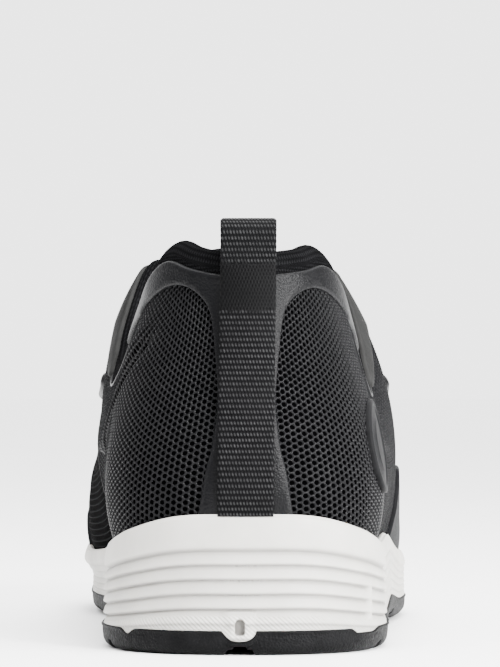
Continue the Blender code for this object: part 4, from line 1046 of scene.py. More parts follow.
def ribbed_mesh_material():
    """Woven mesh with raised level ribs and open pores between them; the rib tops carry a painted
    highlight and the pores painted shade.
    """
    colour = (0.002, 0.002, 0.0022)
    made, tree, shader = new_material("ribbed_mesh", colour, 0.72, Specular_IOR_Level=CLOTH_LEVEL)
    u, v = split_uv(tree)
    row = times(tree, v, 1 / RIB_PITCH)
    rib = stripes(tree, row)
    thread = calc(tree, "PINGPONG", plus(tree, times(tree, u, 1 / THREAD_PITCH), stagger(tree, row)), 0.5)
    hollow = calc(tree, "SUBTRACT", 1.0, rib)
    pore = times(tree, hollow, spread(tree, thread, 0.18, 0.42, 0.0, 1.0))
    high = spread(tree, rib, 0.62, 0.98, 0.0, 1.0)
    fuzz = noise(tree, place_of(tree), 0.0004, 3.0)
    # painted highlight: the rib tops lighter
    lit = times(tree, high, spread(tree, fuzz, 0.2, 0.8, 0.5, 1.0))
    shade = blend_colour(tree, lit, (0.0008, 0.0008, 0.0009), (0.017, 0.017, 0.0175))
    # painted shade: the pores darker
    shade = blend_colour(tree, pore, shade, (0.0004, 0.0004, 0.0004))
    height = calc(tree, "SUBTRACT", high, times(tree, pore, 0.8))
    wire(tree, shader, shade, None, (height, 0.0005, 0.9), (fuzz, 0.0001, 0.5))
    return made


def webbing_material():
    """Nylon webbing: painted glints, a lighter colour on the crowns of its threads, darker where the bar
    tack is sewn.
    """
    made, tree, shader = new_material("webbing", (0.004, 0.004, 0.0043), 0.5, Specular_IOR_Level=0.04)
    crown = attribute(tree, "crown")
    where = place_of(tree)
    fibre = noise(tree, where, 0.00018, 2.0)
    cloud = noise(tree, where, 0.008)
    # painted highlight: the thread crowns lighter
    painted_glint = spread(tree, crown, 0.45, 0.95, 0.0, 1.0)
    shade = blend_colour(tree, painted_glint, (0.0008, 0.0008, 0.0010), (0.0185, 0.0185, 0.019))
    worn = spread(tree, cloud, 0.35, 0.75, 0.0, 0.35)
    shade = blend_colour(tree, worn, shade, (0.0035, 0.0035, 0.0038))
    sewn = times(tree, attribute(tree, "tack"), 0.80)
    shade = blend_colour(tree, sewn, shade, (0.0005, 0.0005, 0.0006))
    wire(tree, shader, shade, spread(tree, crown, 0.2, 1.0, 0.75, 0.45), (fibre, 0.00008, 0.7))
    return made


def foam_material():
    """Moulded foam: warm off-white, faint mottling, painted shade in the grooves, down the rib beneath
    each groove and in the rear slot, and a hatched lower band.
    """
    made, tree, shader = new_material("foam", (0.80, 0.79, 0.765), 0.55, Subsurface_Weight=0.08)
    shader.inputs["Subsurface Radius"].default_value = (0.004, 0.003, 0.002)
    shader.inputs["Subsurface Scale"].default_value = 0.5
    where = place_of(tree)
    groove = attribute(tree, "groove")
    cloud = noise(tree, where, 0.012, 4.0)
    skin = noise(tree, where, 0.0005, 3.0)
    u, v = split_uv(tree)
    line = stripes(tree, plus(tree, times(tree, u, 1 / 0.0011), times(tree, v, 1 / 0.0013)))
    line = times(tree, line, attribute(tree, "hatch"))
    mottle = spread(tree, cloud, 0.3, 0.75, 0.0, 1.0)
    shade = blend_colour(tree, mottle, (0.44, 0.428, 0.398), (0.37, 0.36, 0.335))
    # painted shade: darker in each groove, fading down the rib beneath it
    groove_shade = times(tree, spread(tree, groove, 0.0, 1.0, 0.0, 1.0), 0.78)
    shade = blend_colour(tree, groove_shade, shade, (0.15, 0.145, 0.135))
    # painted shade: the rear tab's slot darker still
    slot = spread(tree, groove, 1.1, 1.9, 0.0, 0.8)
    shade = blend_colour(tree, slot, shade, (0.085, 0.078, 0.070))
    rough = spread(tree, cloud, 0.3, 0.7, 0.50, 0.62)
    wire(tree, shader, shade, rough, (skin, 0.00006, 0.5), (line, 0.00022, 0.8))
    return made


def rubber_material():
    """Moulded rubber: fine stipple, slight bloom and scuffs."""
    made, tree, shader = new_material("rubber", (0.0028, 0.0028, 0.0031), 0.5, Specular_IOR_Level=0.045)
    where = place_of(tree)
    stipple = cells(tree, where, 0.0007)
    bloom = spread(tree, noise(tree, where, 0.006, 5.0, 0.6), 0.4, 0.75, 0.0, 1.0)
    scuff = noise(tree, where, 0.0015, 4.0)
    shade = blend_colour(tree, bloom, (0.0016, 0.0016, 0.0018), (0.0040, 0.0040, 0.0043))
    rough = spread(tree, scuff, 0.3, 0.7, 0.46, 0.66)
    wire(tree, shader, shade, rough, (stipple, 0.00026, 0.8), (scuff, 0.00012, 0.5))
    return made


def braid_material(name, colour, pitch):
    """Flat braid: slanted threads that meet in the middle of the piece."""
    made, tree, shader = new_material(name, colour, 0.7, Specular_IOR_Level=0.04)
    u, v = split_uv(tree)
    away = calc(tree, "ABSOLUTE", v)
    thread = stripes(tree, times(tree, plus(tree, u, away), 1 / pitch))
    tier = stripes(tree, times(tree, away, 1 / (1.1 * pitch)))
    high = times(tree, thread, plus(tree, 0.4, times(tree, tier, 0.6)))
    fuzz = noise(tree, place_of(tree), 0.0003, 3.0)
    shade = blend_colour(tree, high, scaled(colour, 0.4), scaled(colour, 2.4))
    wire(tree, shader, shade, None, (high, 0.0003, 0.9), (fuzz, 0.00008, 0.6))
    return made


FILM = film_material("film_charcoal", (0.0012, 0.0012, 0.0015), 0.34, 0.00065, 0.00016, 0.078)
GUARD_FILM = film_material("film_guard", (0.0036, 0.0036, 0.0040), 0.46, 0.0009, 0.00014, 0.008)
GREY = film_material("film_grey", (0.0105, 0.0105, 0.0103), 0.48, 0.0008, 0.00008, 0.012)
BADGE_FILM = film_material("film_badge", (0.0034, 0.0034, 0.0037), 0.42, 0.0007, 0.00007, 0.010)
CELL_FILM = film_material("film_cells", (0.0011, 0.0011, 0.0014), 0.26, 0.0005, 0.00003, 0.045)
# the cloth in the pits is real; its colour, darker than the film's, is partly painted shade in the pits
SHADED_PIT_CLOTH = knit_material("pit_cloth_shaded", (0.0005, 0.0005, 0.0006), 0.0006)
KNIT = knit_material("black_knit", (0.0042, 0.0042, 0.0045), 0.00115, 0.8)
LINING = knit_material("lining_knit", (0.0050, 0.0050, 0.0054), 0.0013)
COVER = knit_material("insole_cloth", (0.014, 0.014, 0.015), 0.0011)
RIBBED = ribbed_mesh_material()
WEBBING = webbing_material()
FOAM = foam_material()
RUBBER_FINISH = rubber_material()
LACE_FINISH = braid_material("lace_braid", (0.0026, 0.0026, 0.0029), 0.0012)


# Borders of the films, in (around, up)


def frame_border():
    side = rounded([seen_from_behind(*row) for row in FRAME_EDGE])
    foot_at = side[0][0] + 0.004
    low = float(above_rim(foot_at)) - 0.05
    half = [(foot_at, low)] + side + [(FRAME_POINT, FRAME_TOP)]
    return half + [(0.0, FRAME_TOP)] + [(-a, u) for a, u in reversed(half)]


def eyestay_border():
    top = [(a, FRAME_TOP) for a in np.linspace(0.393, 1.0, 34)]
    low = rounded(EYESTAY_HALF)
    medial = [(2.0 - a, u) for a, u in reversed(low)]
    back = [(2.0 - a, u) for a, u in top[:-1]]
    return list(low) + [(1.0, 0.835)] + medial + back + top[::-1]


def guard_border():
    top = rounded(GUARD_TOP)
    first, last = GUARD_TOP[0][0], GUARD_TOP[-1][0]
    low = [(a, float(above_rim(fold(a))) - 0.03) for a in np.linspace(first - 0.012, last + 0.012, 60)]
    return top + low[::-1]


def tab_border(side):
    return [(side * a, u) for a, u in rounded(TAB_SIDE, closed=True)]


FRAME_LOOP = flat_border(frame_border())
EYESTAY_LOOP = flat_border(eyestay_border())
GUARD_LOOP = flat_border(guard_border())
TAB_LOOPS = {side: flat_border(tab_border(side)) for side, _ in SIDES}
FILM_HEIGHT = OVERLAY_GAP + OVERLAY - 0.0001
TAB_EDGE = ((0.0, 0.2), (0.0003, 0.5), (0.0009, 0.82), (0.0018, 1.0))


def build_films():
    film("heel_film", FRAME_LOOP, FILM_HEIGHT, FILM, "heel_frame")
    film("eyestay_film", EYESTAY_LOOP, FILM_HEIGHT, GREY, "eyestay")
    film("guard_film", GUARD_LOOP, OVERLAY_GAP + CAP_OVERLAY, GUARD_FILM, "toe_guard")
    height = OVERLAY_GAP + TAB_OVERLAY
    for side, word in SIDES:
        solid = f"side_tab_{word}"
        film(f"tab_film_{word}", TAB_LOOPS[side], height, FILM, solid, 0.0011, TAB_EDGE)


# The honeycomb film over the quarters

CELL_PITCH = 0.0019
CELL_TOP = 0.00042
CELL_CORNERS = 12
# Shares of the pitch: a cell's least distance from the border, and how far cells go under others
CELL_FROM_BORDER = 0.35
CELL_UNDER_FILM = 0.6
CELL_UNDER_BADGE = 0.4
# A cell has a lip round its pit up to this place round the shoe. The reaches are shares of the
# pitch, with and without the lip, and the shares are heights at the corners and between them.
CELL_LIP_LIMIT = 0.235
LIP_REACH = 0.425
PIT_REACH = (0.365, 0.385)
RIDGE_SHARES = (1.10, 0.80)
LIP_SHARE = 0.66
PIT_HEIGHT = 0.00002
CELL_REGION = (
    (0.012, 0.04), (0.250, 0.04), (0.480, 0.05), (0.515, 0.25), (0.528, 0.42), (0.552, 0.56),
    (0.590, 0.66), (0.600, 0.76), (0.500, 0.80), (0.420, 0.85), (0.392, 0.905), (0.372, 0.925),
    (0.335, 0.895), (0.300, 0.905), (0.262, 0.935), (0.200, 0.95), (0.012, 0.95),
)
FRONT_EDGE = ((0.487, 0.10), (0.515, 0.25), (0.528, 0.42), (0.552, 0.56), (0.590, 0.66), (0.600, 0.755))
HEM_EDGE = ((0.255, 0.945), (0.278, 0.922), (0.300, 0.905), (0.335, 0.893), (0.360, 0.905), (0.380, 0.935))


def build_honeycomb(side, word):
    """Hexagonal ridges with round pits, laid over the quarter in upright files."""
    region = flat_border([(side * a, u) for a, u in CELL_REGION])
    lo, hi = region.min(0), region.max(0)
    file_step = CELL_PITCH * math.sqrt(3) / 2
    files = np.arange(math.floor(lo[0] / file_step), math.ceil(hi[0] / file_step) + 1)
    ranks = np.arange(math.floor(lo[1] / CELL_PITCH), math.ceil(hi[1] / CELL_PITCH) + 1)
    i, j = (a.ravel() for a in np.meshgrid(files, ranks, indexing="ij"))
    centres = np.stack((i * file_step, (j + 0.5 * (i % 2)) * CELL_PITCH), -1)
    keep = inside(centres, region) & (far_from(centres, region) > CELL_FROM_BORDER * CELL_PITCH)
    for loop in (FRAME_LOOP, EYESTAY_LOOP, TAB_LOOPS[side]):
        keep &= ~(inside(centres, loop) & (far_from(centres, loop) > CELL_UNDER_FILM * CELL_PITCH))
    if side > 0:
        middle = surface(*(np.array(v) for v in BADGE_CENTRE))
        place, _ = lifted(centres, np.zeros(len(centres)))
        keep &= np.linalg.norm(place - middle, axis=-1) > BADGE_RADIUS - CELL_UNDER_BADGE * CELL_PITCH
    centres = centres[keep]
    turns = np.radians(np.arange(CELL_CORNERS) * 360.0 / CELL_CORNERS)
    ray = np.stack((np.cos(turns), np.sin(turns)), -1)
    odd = np.arange(CELL_CORNERS) % 2
    reach = np.where(odd == 0, CELL_PITCH / math.sqrt(3), CELL_PITCH / 2)
    ridge = (centres[:, None] + ray * reach[:, None]).reshape(-1, 2)
    keys = np.round(ridge / 2e-6).astype(np.int64)
    _, first, number = np.unique(keys, axis=0, return_index=True, return_inverse=True)
    number = number.reshape(-1, CELL_CORNERS)
    near = np.abs(from_flat(centres)[0]) < CELL_LIP_LIMIT
    lip = centres[:, None] + ray * (LIP_REACH * CELL_PITCH)
    pit_reach = np.where(near, *PIT_REACH) * CELL_PITCH
    pit = centres[:, None] + ray * pit_reach[:, None, None]
    flat = np.concatenate((ridge[first], lip.reshape(-1, 2), pit.reshape(-1, 2)))
    rim = CELL_CORNERS * len(centres)
    ridge_height = np.where(odd[first % CELL_CORNERS] == 0, *RIDGE_SHARES) * CELL_TOP
    lip_height, pit_height = np.full(rim, LIP_SHARE * CELL_TOP), np.full(rim, PIT_HEIGHT)
    points, out = lifted(flat, np.concatenate((ridge_height, lip_height, pit_height)))
    lips = len(first) + np.arange(rim).reshape(-1, CELL_CORNERS)
    pits = lips + rim

    def band(outer, inner):
        corners = (outer, np.roll(outer, -1, 1), np.roll(inner, -1, 1), inner)
        return np.stack(corners, -1).reshape(-1, 4)

    faces = [band(number[near], lips[near]), band(lips[near], pits[near])]
    faces += [band(number[~near], pits[~near]), pits]
    mesh = build_mesh(f"honeycomb_{word}", points, faces, flat, None, out)
    # the pit floors take the cloth whose darker colour is partly painted shade
    set_slots(mesh, [int(len(p.vertices) == CELL_CORNERS) for p in mesh.polygons])
    add_piece(f"honeycomb_{word}", mesh, [CELL_FILM, SHADED_PIT_CLOTH])


def build_film_edges():
    """The honeycomb film's own raised edge at its front and over the collar's dip."""
    for side, word in SIDES:
        for kind, rows, count, width in (("edge", FRONT_EDGE, 90, 0.0011), ("hem", HEM_EDGE, 60, 0.0010)):
            line = smooth_line(flat_line(rows, side), count)
            points, out = lifted(line, np.zeros(len(line)))
            bead(f"film_{kind}_{word}", points, out, width)


# The badge's section: shares of its radius, from the rim inwards, and heights above the upper
BADGE_SIDES = 96
BADGE_PROFILE = (
    (1.000, 0.0001), (1.000, 0.0012), (0.985, 0.00150), (0.955, 0.00168), (0.915, 0.00170),
    (0.880, 0.00160), (0.855, 0.00135), (0.840, 0.00118), (0.800, 0.00112), (0.600, 0.00112),
    (0.570, 0.00118), (0.545, 0.00128), (0.520, 0.00130), (0.490, 0.00130), (0.465, 0.00122),
    (0.440, 0.00112), (0.250, 0.00110), (0.020, 0.00110),
)


def build_badge():
    """The blank round badge: a dished disc with a raised, rounded lip."""
    angles = 2 * math.pi * np.arange(BADGE_SIDES) / BADGE_SIDES
    rings, uv, outs = [], [], []
    for share, height in BADGE_PROFILE:
        reach = share * BADGE_RADIUS * np.stack((np.cos(angles), np.sin(angles)))
        place = badge_place(reach)
        outs.append(normal(*place))
        rings.append(surface(*place) + outs[-1] * height)
        uv.append(reach.T)
    faces = grid_faces(len(rings), BADGE_SIDES, close_columns=True)
    cap = (len(rings) - 1) * BADGE_SIDES + np.arange(BADGE_SIDES)
    mesh = build_mesh("badge_disc", rings, [faces, cap[None]], np.concatenate(uv), None, outs)
    add_piece("badge_disc", mesh, [BADGE_FILM], ["badge"])


# The upper's shell: cloth outside, a padded knit collar and lining inside

KNIT_REGION = (
    (0.255, 0.945), (0.278, 0.922), (0.300, 0.905), (0.335, 0.893), (0.360, 0.905), (0.380, 0.935),
    (0.395, 1.2), (0.240, 1.2),
)
SHELL_COLUMNS = 480
SHELL_OUTER = 50
SHELL_ROLL = 12
SHELL_INNER = 30
ROLL_BULGE = 0.10
BINDING_UP = 0.955
BINDING_END = 0.45


def build_shell():
    """The upper's wall: its outer face with the folds, a rolled edge and the padded lining."""
    places = stations(SHELL_COLUMNS)
    ups = np.linspace(0, 1, SHELL_OUTER)
    a, u = np.meshgrid(ups, places, indexing="ij")
    flat = to_flat(u, a)
    outside = surface(u, a) + normal(u, a) * crease_height(flat)[..., None]
    full = np.ones(SHELL_COLUMNS)
    edge = surface(places, full)
    edge_out = normal(places, full)
    tangent = unit(edge - surface(places, full * 0.985))
    pad = COLUMN["pad"](np.abs(places))[:, None]
    radius = thickness(places, full)[:, None] / 2
    rolls = []
    for k in range(1, SHELL_ROLL):
        turn = math.pi * k / SHELL_ROLL
        bulge = (1 + ROLL_BULGE * pad * math.sin(turn)) * math.sin(turn)
        rolls.append(edge - edge_out * radius * (1 - math.cos(turn)) + tangent * radius * bulge)
    b, w = np.meshgrid(np.linspace(1, 0, SHELL_INNER), places, indexing="ij")
    points = np.concatenate((outside, rolls, offset(w, b, -thickness(w, b))))
    rows = len(points)
    steps = np.linalg.norm(np.diff(points, axis=0), axis=-1).mean(1)
    length = np.concatenate(([0.0], np.cumsum(steps)))
    middle = to_flat(places, full * 0.5)[:, 0]
    uv = np.stack(np.meshgrid(length, middle, indexing="ij")[::-1], -1)
    uv[:SHELL_OUTER, :, 1] = flat[..., 1]
    faces = grid_faces(rows, SHELL_COLUMNS, close_rows=True, close_columns=True)
    mesh = build_mesh("upper_shell", points, [faces], uv, U_SPAN)
    row = faces_row(faces, SHELL_COLUMNS, rows)
    outer = row < SHELL_OUTER
    around = places[faces[:, 0] % SHELL_COLUMNS]
    up = np.append(ups, np.ones(rows - SHELL_OUTER))[faces[:, 0] // SHELL_COLUMNS]
    knit = (row >= SHELL_OUTER - 1) | (outer & (up > BINDING_UP) & (np.abs(around) < BINDING_END))
    for side, _ in SIDES:
        region = np.array([(side * p, q) for p, q in KNIT_REGION])
        knit |= outer & inside(np.stack((around, up), -1), region)
    set_slots(mesh, np.where(row >= SHELL_OUTER + SHELL_ROLL - 1, 2, knit))
    made = add_piece("upper_shell", mesh, [RIBBED, KNIT, LINING], ["upper"])


def faces_row(faces, columns, rows):
    """The grid row that each quad starts from; quads of the closing row count as the last."""
    lowest = faces.min(1) // columns
    highest = faces.max(1) // columns
    return np.where(highest - lowest > 1, rows - 1, lowest)


# The pull loop's webbing


def loop_path():
    """The webbing's middle line as in the CAD: points (y, z, sag) from the sole up and over."""
    outer_lift = OVERLAY_GAP + OVERLAY + 1.6 * GAP + WEBBING_THICKNESS / 2
    edge_around = WEBBING_WIDTH / 2 / HALVES[0][2]
    start = float(above_rim(0.0, clearance=2 * GAP))
    ups = np.linspace(start, 0.97, 10)
    zero = np.zeros(len(ups))
    outside = offset(zero, ups, np.full(len(ups), outer_lift))
    side = offset(zero + edge_around, ups, np.full(len(ups), outer_lift))
    sag = (side[:, 1] - outside[:, 1]) / side[:, 0] ** 2
    path = [(y, z, s) for (_, y, z), s in zip(outside, sag)]
    edge = surface(np.array(0.0), np.array(1.0))
    top = edge[2] + LOOP_RISE
    left = path[-1][0] + GAP
    right = edge[1] + COLLAR_PAD + LOOP_GAP + GAP + WEBBING_THICKNESS / 2
    middle, radius = (left + right) / 2, (right - left) / 2
    squash = 0.62
    arc_base = top - WEBBING_THICKNESS / 2 - radius * squash
    end_sag = path[-1][2]
    path.append((left, (path[-1][1] + arc_base) / 2, 0.55 * end_sag))
    for k in range(7):
        angle = math.pi * k / 6
        rise = radius * squash * math.sin(angle)
        path.append((middle - radius * math.cos(angle), arc_base + rise, 0.15 * end_sag))
    inner_ups = np.linspace(0.97, 0.97 - LOOP_TUCK / (0.74 * COLLAR_HEIGHT), 4)
    inner_lift = -(thickness(0.0, inner_ups) + LOOP_GAP + WEBBING_THICKNESS / 2)
    inner = offset(np.zeros(4), inner_ups, inner_lift)
    inner_side = offset(np.full(4, 1.75 * edge_around), inner_ups, inner_lift)
    inner_sag = (inner_side[:, 1] - inner[:, 1]) / inner_side[:, 0] ** 2
    path += [(y, z, s) for (_, y, z), s in zip(inner, inner_sag)]
    return np.array(path)


WEAVE_ACROSS = 0.00094
WEAVE_ALONG = 0.00163
THREAD_HEIGHT = 0.00042
THREAD_SINK = 0.00018
STITCH_WIDTH = 0.00095
STITCH_PITCHES = (0.0019, 0.0026)
STITCH_HEIGHT = 0.00022
TACK_LIFT = 0.00010
TACK_TOP = 0.1120
TACK_FOOT = 0.0984
WEBBING_ROWS = 560
WEBBING_COLUMNS = 86
WEBBING_INNER_COLUMNS = 34


def weave(x, s):
    """The height (0 to 1) and the lit crown of the threads at places across and along the webbing."""
    row = s / WEAVE_ALONG
    rank = np.floor(row)
    b = row - rank - 0.5
    col = x / WEAVE_ACROSS + 0.5 * (rank % 2) + 0.45 * b
    a = col - np.floor(col) - 0.5
    pill = np.clip(1 - (a / 0.50) ** 2, 0, 1) ** 0.5 * np.clip(1 - (b / 0.5) ** 2, 0, 1) ** 0.6
    wave = (rank * 7919 + np.floor(col) * 104729) % 97 / 97
    return pill, pill**1.6 * (0.80 + 0.20 * wave)


def zigzag(value):
    return np.abs((value % 1.0) - 0.5) * 2


def build_webbing():
    """Ribbed webbing with every thread crown raised, and a bar tack sewn through it."""
    raw = loop_path()
    raw[0, :2] += (0.0012, -0.0012)
    raw[:, 2] *= 1e-6
    line = smooth_line(raw, WEBBING_ROWS)
    line[:, 2] *= 1e6
    run = unit(np.gradient(line[:, :2], axis=0))
    away = np.stack((-run[:, 1], run[:, 0]), -1)
    length = lengths(line[:, :2])
    half = WEBBING_WIDTH / 2
    across = np.linspace(-half, half, WEBBING_COLUMNS)
    inner_across = np.linspace(half, -half, WEBBING_INNER_COLUMNS)
    outer_run = np.arange(len(line)) < np.argmax(line[:, 1])
    ragged = np.random.default_rng(7).uniform(-0.0006, 0.0010, 19)
    ragged = np.interp(across, np.linspace(-half, half, 19), ragged)
    rings, crowns, tacks = [], [], []
    for face, x in [(1, x) for x in across] + [(-1, x) for x in inner_across]:
        pill, crown = weave(x, length)
        near = line[:, 1] - np.interp(x, across, ragged)
        zone = smoothstep(TACK_FOOT - 0.0006, TACK_FOOT + 0.0006, near)
        zone *= (1 - smoothstep(TACK_TOP - 0.0005, TACK_TOP + 0.0012, near)) * outer_run
        there, back = length / STITCH_PITCHES[0], length / STITCH_PITCHES[1]
        stitch = np.maximum(zigzag(x / STITCH_WIDTH + there), zigzag(x / STITCH_WIDTH - back))
        edge = np.clip((half - abs(x)) / 0.0007, 0, 1) ** 0.5
        sewn = STITCH_HEIGHT * stitch**1.5 + TACK_LIFT
        deep = (THREAD_HEIGHT * pill - THREAD_SINK) * (1 - zone) + sewn * zone
        thick = WEBBING_THICKNESS / 2 * (0.45 + 0.55 * edge) + deep * edge
        y, z = (line[:, :2] + away * (face * thick)[:, None]).T
        middle = COLLAR_LEAN * np.clip(z / COLLAR_HEIGHT, 0, 1) ** 2
        wander = 0.0015 * zigzag(length / WEAVE_ALONG) * np.sign(x) * max(0.0, abs(x) / half - 0.9)
        rings.append(np.stack((middle + x + wander, y + line[:, 2] * x * x, z), -1))
        # the crown value also sets the painted glint in the webbing's colour
        crowns.append(crown * (1 - zone) + (0.40 + 0.45 * stitch**3) * zone)
        tacks.append(zone)
    width = len(rings)
    faces = [grid_faces(len(line), width, close_columns=True)]
    spots = np.round(np.linspace(0, WEBBING_INNER_COLUMNS - 1, WEBBING_COLUMNS)).astype(int)
    for base in (0, (len(line) - 1) * width):
        front = base + np.arange(WEBBING_COLUMNS)
        other = base + width - 1 - spots
        faces.append(np.stack((front[:-1], front[1:], other[1:]), -1))
        split = other[1:] != other[:-1]
        faces.append(np.stack((front[:-1], other[1:], other[:-1]), -1)[split])
    uv = np.stack(np.meshgrid(length, np.concatenate((across, inner_across)), indexing="ij"), -1)
    mesh = build_mesh("webbing_loop", np.stack(rings, 1), faces, uv)
    add_value(mesh, "crown", np.stack(crowns, 1).ravel())
    add_value(mesh, "tack", np.stack(tacks, 1).ravel())
    add_piece("webbing_loop", mesh, [WEBBING], ["pull_loop"])


# Midsole and outsole

TAB_REACH = 0.0047
TAB_DROP = 0.0030
CORNER_DIP = 0.0013
SIDE_DIP = 0.0016
SIDE_DIP_AT = 0.0155
STRAP_AT = 0.020
# Distances from the heel's rear at which the stations round the sole grow wider
NEAR_END = 0.0045
MIDDLE_END = 0.085
# The ribs' section: shares of a groove's depth at the groove and up the rib's slope, and the
# groove's width as a share of the step between grooves
RIB_DEEPER = 1.15
GROOVE_SINK = 0.80
RIB_SLOPE = 0.62
GROOVE_HALF = 0.115
STRAP_HALF = 0.0011
STRAP_PROUD = 0.00025
# The rear tab: how proud it stands, its half width, and the slot in it
BOSS_PROUD = 0.0006
BOSS_HALF = 0.0038
SLOT_DEEP = 0.0019
SLOT_MIDDLE = 0.0079
SLOT_ARCH = 0.0024
SLOT_FOOT = 0.0072
SLOT_FOOT_ROUND = 0.0014
TAB_REAR = 0.01


def sole_places(near, middle, far):
    """Stations round the sole: close beside the rear tab, wider apart on the sides and the toe."""
    half = HALVES[0][2]
    line = [0.0]
    for step, end in ((near, NEAR_END / half), (middle, MIDDLE_END / half), (far, 1.0)):
        while line[-1] < end:
            line.append(line[-1] + step / half)
    side = np.array(line) / line[-1]
    return np.concatenate((side, -side[1:-1][::-1]))


def rubber_top(places):
    """Height of the rubber's upper edge: it drops round the rear tab and dips at the corners."""
    x, y = outline(places).T
    far = np.clip(np.abs(x - NOTCH_OFFSET) / TAB_REACH, 0, 1)
    drop = TAB_DROP * np.sqrt(np.clip(1 - far**2.2, 0, 1)) * (1 - smoothstep(0.012, 0.020, y))
    lateral = CORNER_DIP * (x > 0) * smoothstep(0.0115, 0.0135, y) * (1 - smoothstep(0.020, 0.027, y))
    medial = SIDE_DIP * (x < 0) * np.exp(-(((y - SIDE_DIP_AT) / 0.0018) ** 2))
    return RUBBER - drop - lateral - medial


def build_midsole_looks():
    """The foam's ribbed wall with its flange, rear tab, slot and strap, and the inside of its cup."""
    places = sole_places(0.00022, 0.00115, 0.00175)
    count = len(places)
    plan = outward(places)
    foot0 = outline(places)
    beside = foot0[:, 0] - NOTCH_OFFSET
    rear = foot0[:, 1] < TAB_REAR
    deep = RIM["deep"](np.abs(places)) * RIB_DEPTH * RIB_DEEPER
    top_groove, low_groove = groove_height(places, 0), groove_height(places, RIB_COUNT - 1)
    pitch = (top_groove - low_groove) / (RIB_COUNT - 1)
    rim = rim_above_tread(places)
    base = rubber_top(places) + 0.0001
    strap = (places > 0) * np.exp(-(((foot0[:, 1] - STRAP_AT) / STRAP_HALF) ** 2))
    boss_at = BOSS_PROUD * (1 - smoothstep(0.6, 1.15, np.abs(beside / BOSS_HALF)))
    hole = np.abs(beside / (SLOT_WIDTH * 0.66)) ** 3.0
    zero = np.zeros(count)
    floor_ring = np.zeros((count, 3))
    rings, grooves, hatches, heights = [floor_ring], [zero], [zero], [base]
    low, ribs, high = np.linspace(0, 1, 30), np.linspace(1, 5, 57), np.linspace(5, 6, 18)
    for share in np.concatenate((low[:-1], ribs[:-1], high)):
        if share <= 1:
            height = base + (low_groove - base) * share
        elif share <= 5:
            height = low_groove + pitch * (share - 1)
        else:
            height = top_groove + (rim - 0.0008 - top_groove) * (share - 5)
        phase = (height - low_groove) / pitch
        near = np.abs(phase - np.round(phase))
        a = phase - np.floor(phase)
        slot = np.exp(-((near / GROOVE_HALF) ** 2))
        slope = RIB_SLOPE * np.clip(a, 0, 1) ** 1.3 * (1 - 0.6 * slot)
        sink = deep * (GROOVE_SINK * slot + slope)
        above = phase >= RIB_COUNT - 1
        flange = np.clip((height - top_groove) / (rim - top_groove), 0, 1)
        fade = np.exp(-(((phase - (RIB_COUNT - 1)) / 0.16) ** 2))
        bulge = FLANGE_BULGE * np.sin(math.pi * flange) ** 0.8
        sink = np.where(above, deep * GROOVE_SINK * fade - bulge, sink)
        below = phase <= 0
        low_fade = np.exp(-((phase / GROOVE_HALF) ** 2))
        low_slope = RIB_SLOPE * np.exp(-((phase / 0.55) ** 2)) * (1 - 0.6 * low_fade)
        sink = np.where(below, deep * (GROOVE_SINK * low_fade + low_slope), sink)
        crossing = strap * smoothstep(-0.6, -0.3, phase) * (1 - smoothstep(2.3, 2.7, phase))
        sink = sink * (1 - crossing) - STRAP_PROUD * crossing
        arch = np.clip((height - SLOT_MIDDLE) / SLOT_ARCH, 0, 2) ** 2.5
        arch = arch + np.clip((SLOT_FOOT - height) / SLOT_FOOT_ROUND, 0, 2) ** 4
        in_slot = (1 - smoothstep(0.75, 1.15, hole + arch)) * rear
        boss = boss_at * (1 - smoothstep(0.0092, 0.0125, height)) * rear
        wall_at = midsole_wall(places, np.maximum(height, RUBBER))
        inset = wall_at + sink * (1 - 0.8 * (boss > 0)) - boss + SLOT_DEEP * in_slot
        foot = foot0 - inset[:, None] * plan
        rings.append(np.concatenate((foot, (tread(foot[:, 1]) + height)[:, None]), -1))
        # the groove value is a painted-shade mask for the foam: 1 in a groove, fading down the rib beneath
        # it, and above 1 in the rear slot
        line = np.where(above, fade, np.maximum(slot, RIB_SLOPE * a**2.2)) * (1 - crossing)
        grooves.append(np.clip(line, 0, 1) * (deep / RIB_DEPTH) + 2.0 * in_slot)
        hatch = (1 - smoothstep(-0.50, -0.38, phase)) * smoothstep(0.0, 0.0006, height - base)
        hatches.append(hatch * (1 - in_slot))
        heights.append(height)
    rings[0] = rings[1] - np.append(0.004 * plan, zero[:, None], 1)
    edge_height = rim_height(places)
    edge_up = up_at_height(places, edge_height)
    low_up = up_at_height(places, edge_height - RIM_WALL / 2)
    between = low_up * 0.25 + edge_up * 0.75
    for up, share in ((low_up, 1.0), (between, 0.92), (edge_up, 0.70), (edge_up, 0.35)):
        rings.append(offset(places, up, np.full(count, GAP + RIM_WALL * share)))
    for share in (0.97, 0.5, 0.0):
        rings.append(offset(places, low_up * share, np.full(count, GAP * 0.5)))
    rings[-1][:, 2] = footbed(rings[-1][:, 1])
    extra = len(rings) - len(grooves)
    grooves += [zero] * extra
    hatches += [zero] * extra
    heights += [rim] * extra
    faces = [grid_faces(len(rings), count, close_columns=True)]
    half = count // 2
    c = np.arange(1, half - 1)
    for start in (0, (len(rings) - 1) * count):
        faces.append(start + np.stack((c, c + 1, count - c - 1, count - c), -1))
        faces.append(start + np.array([[0, 1, count - 1]]))
        faces.append(start + np.array([[half - 1, half, half + 1]]))
    run = to_flat(places, np.full(count, 0.2))[:, 0]
    uv = np.stack((np.broadcast_to(run, (len(rings), count)), heights), -1)
    mesh = build_mesh("midsole_wall", rings, faces, uv, U_SPAN)
    add_value(mesh, "groove", np.ravel(grooves))
    add_value(mesh, "hatch", np.ravel(hatches))
    add_piece("midsole_wall", mesh, [FOAM], ["midsole"])


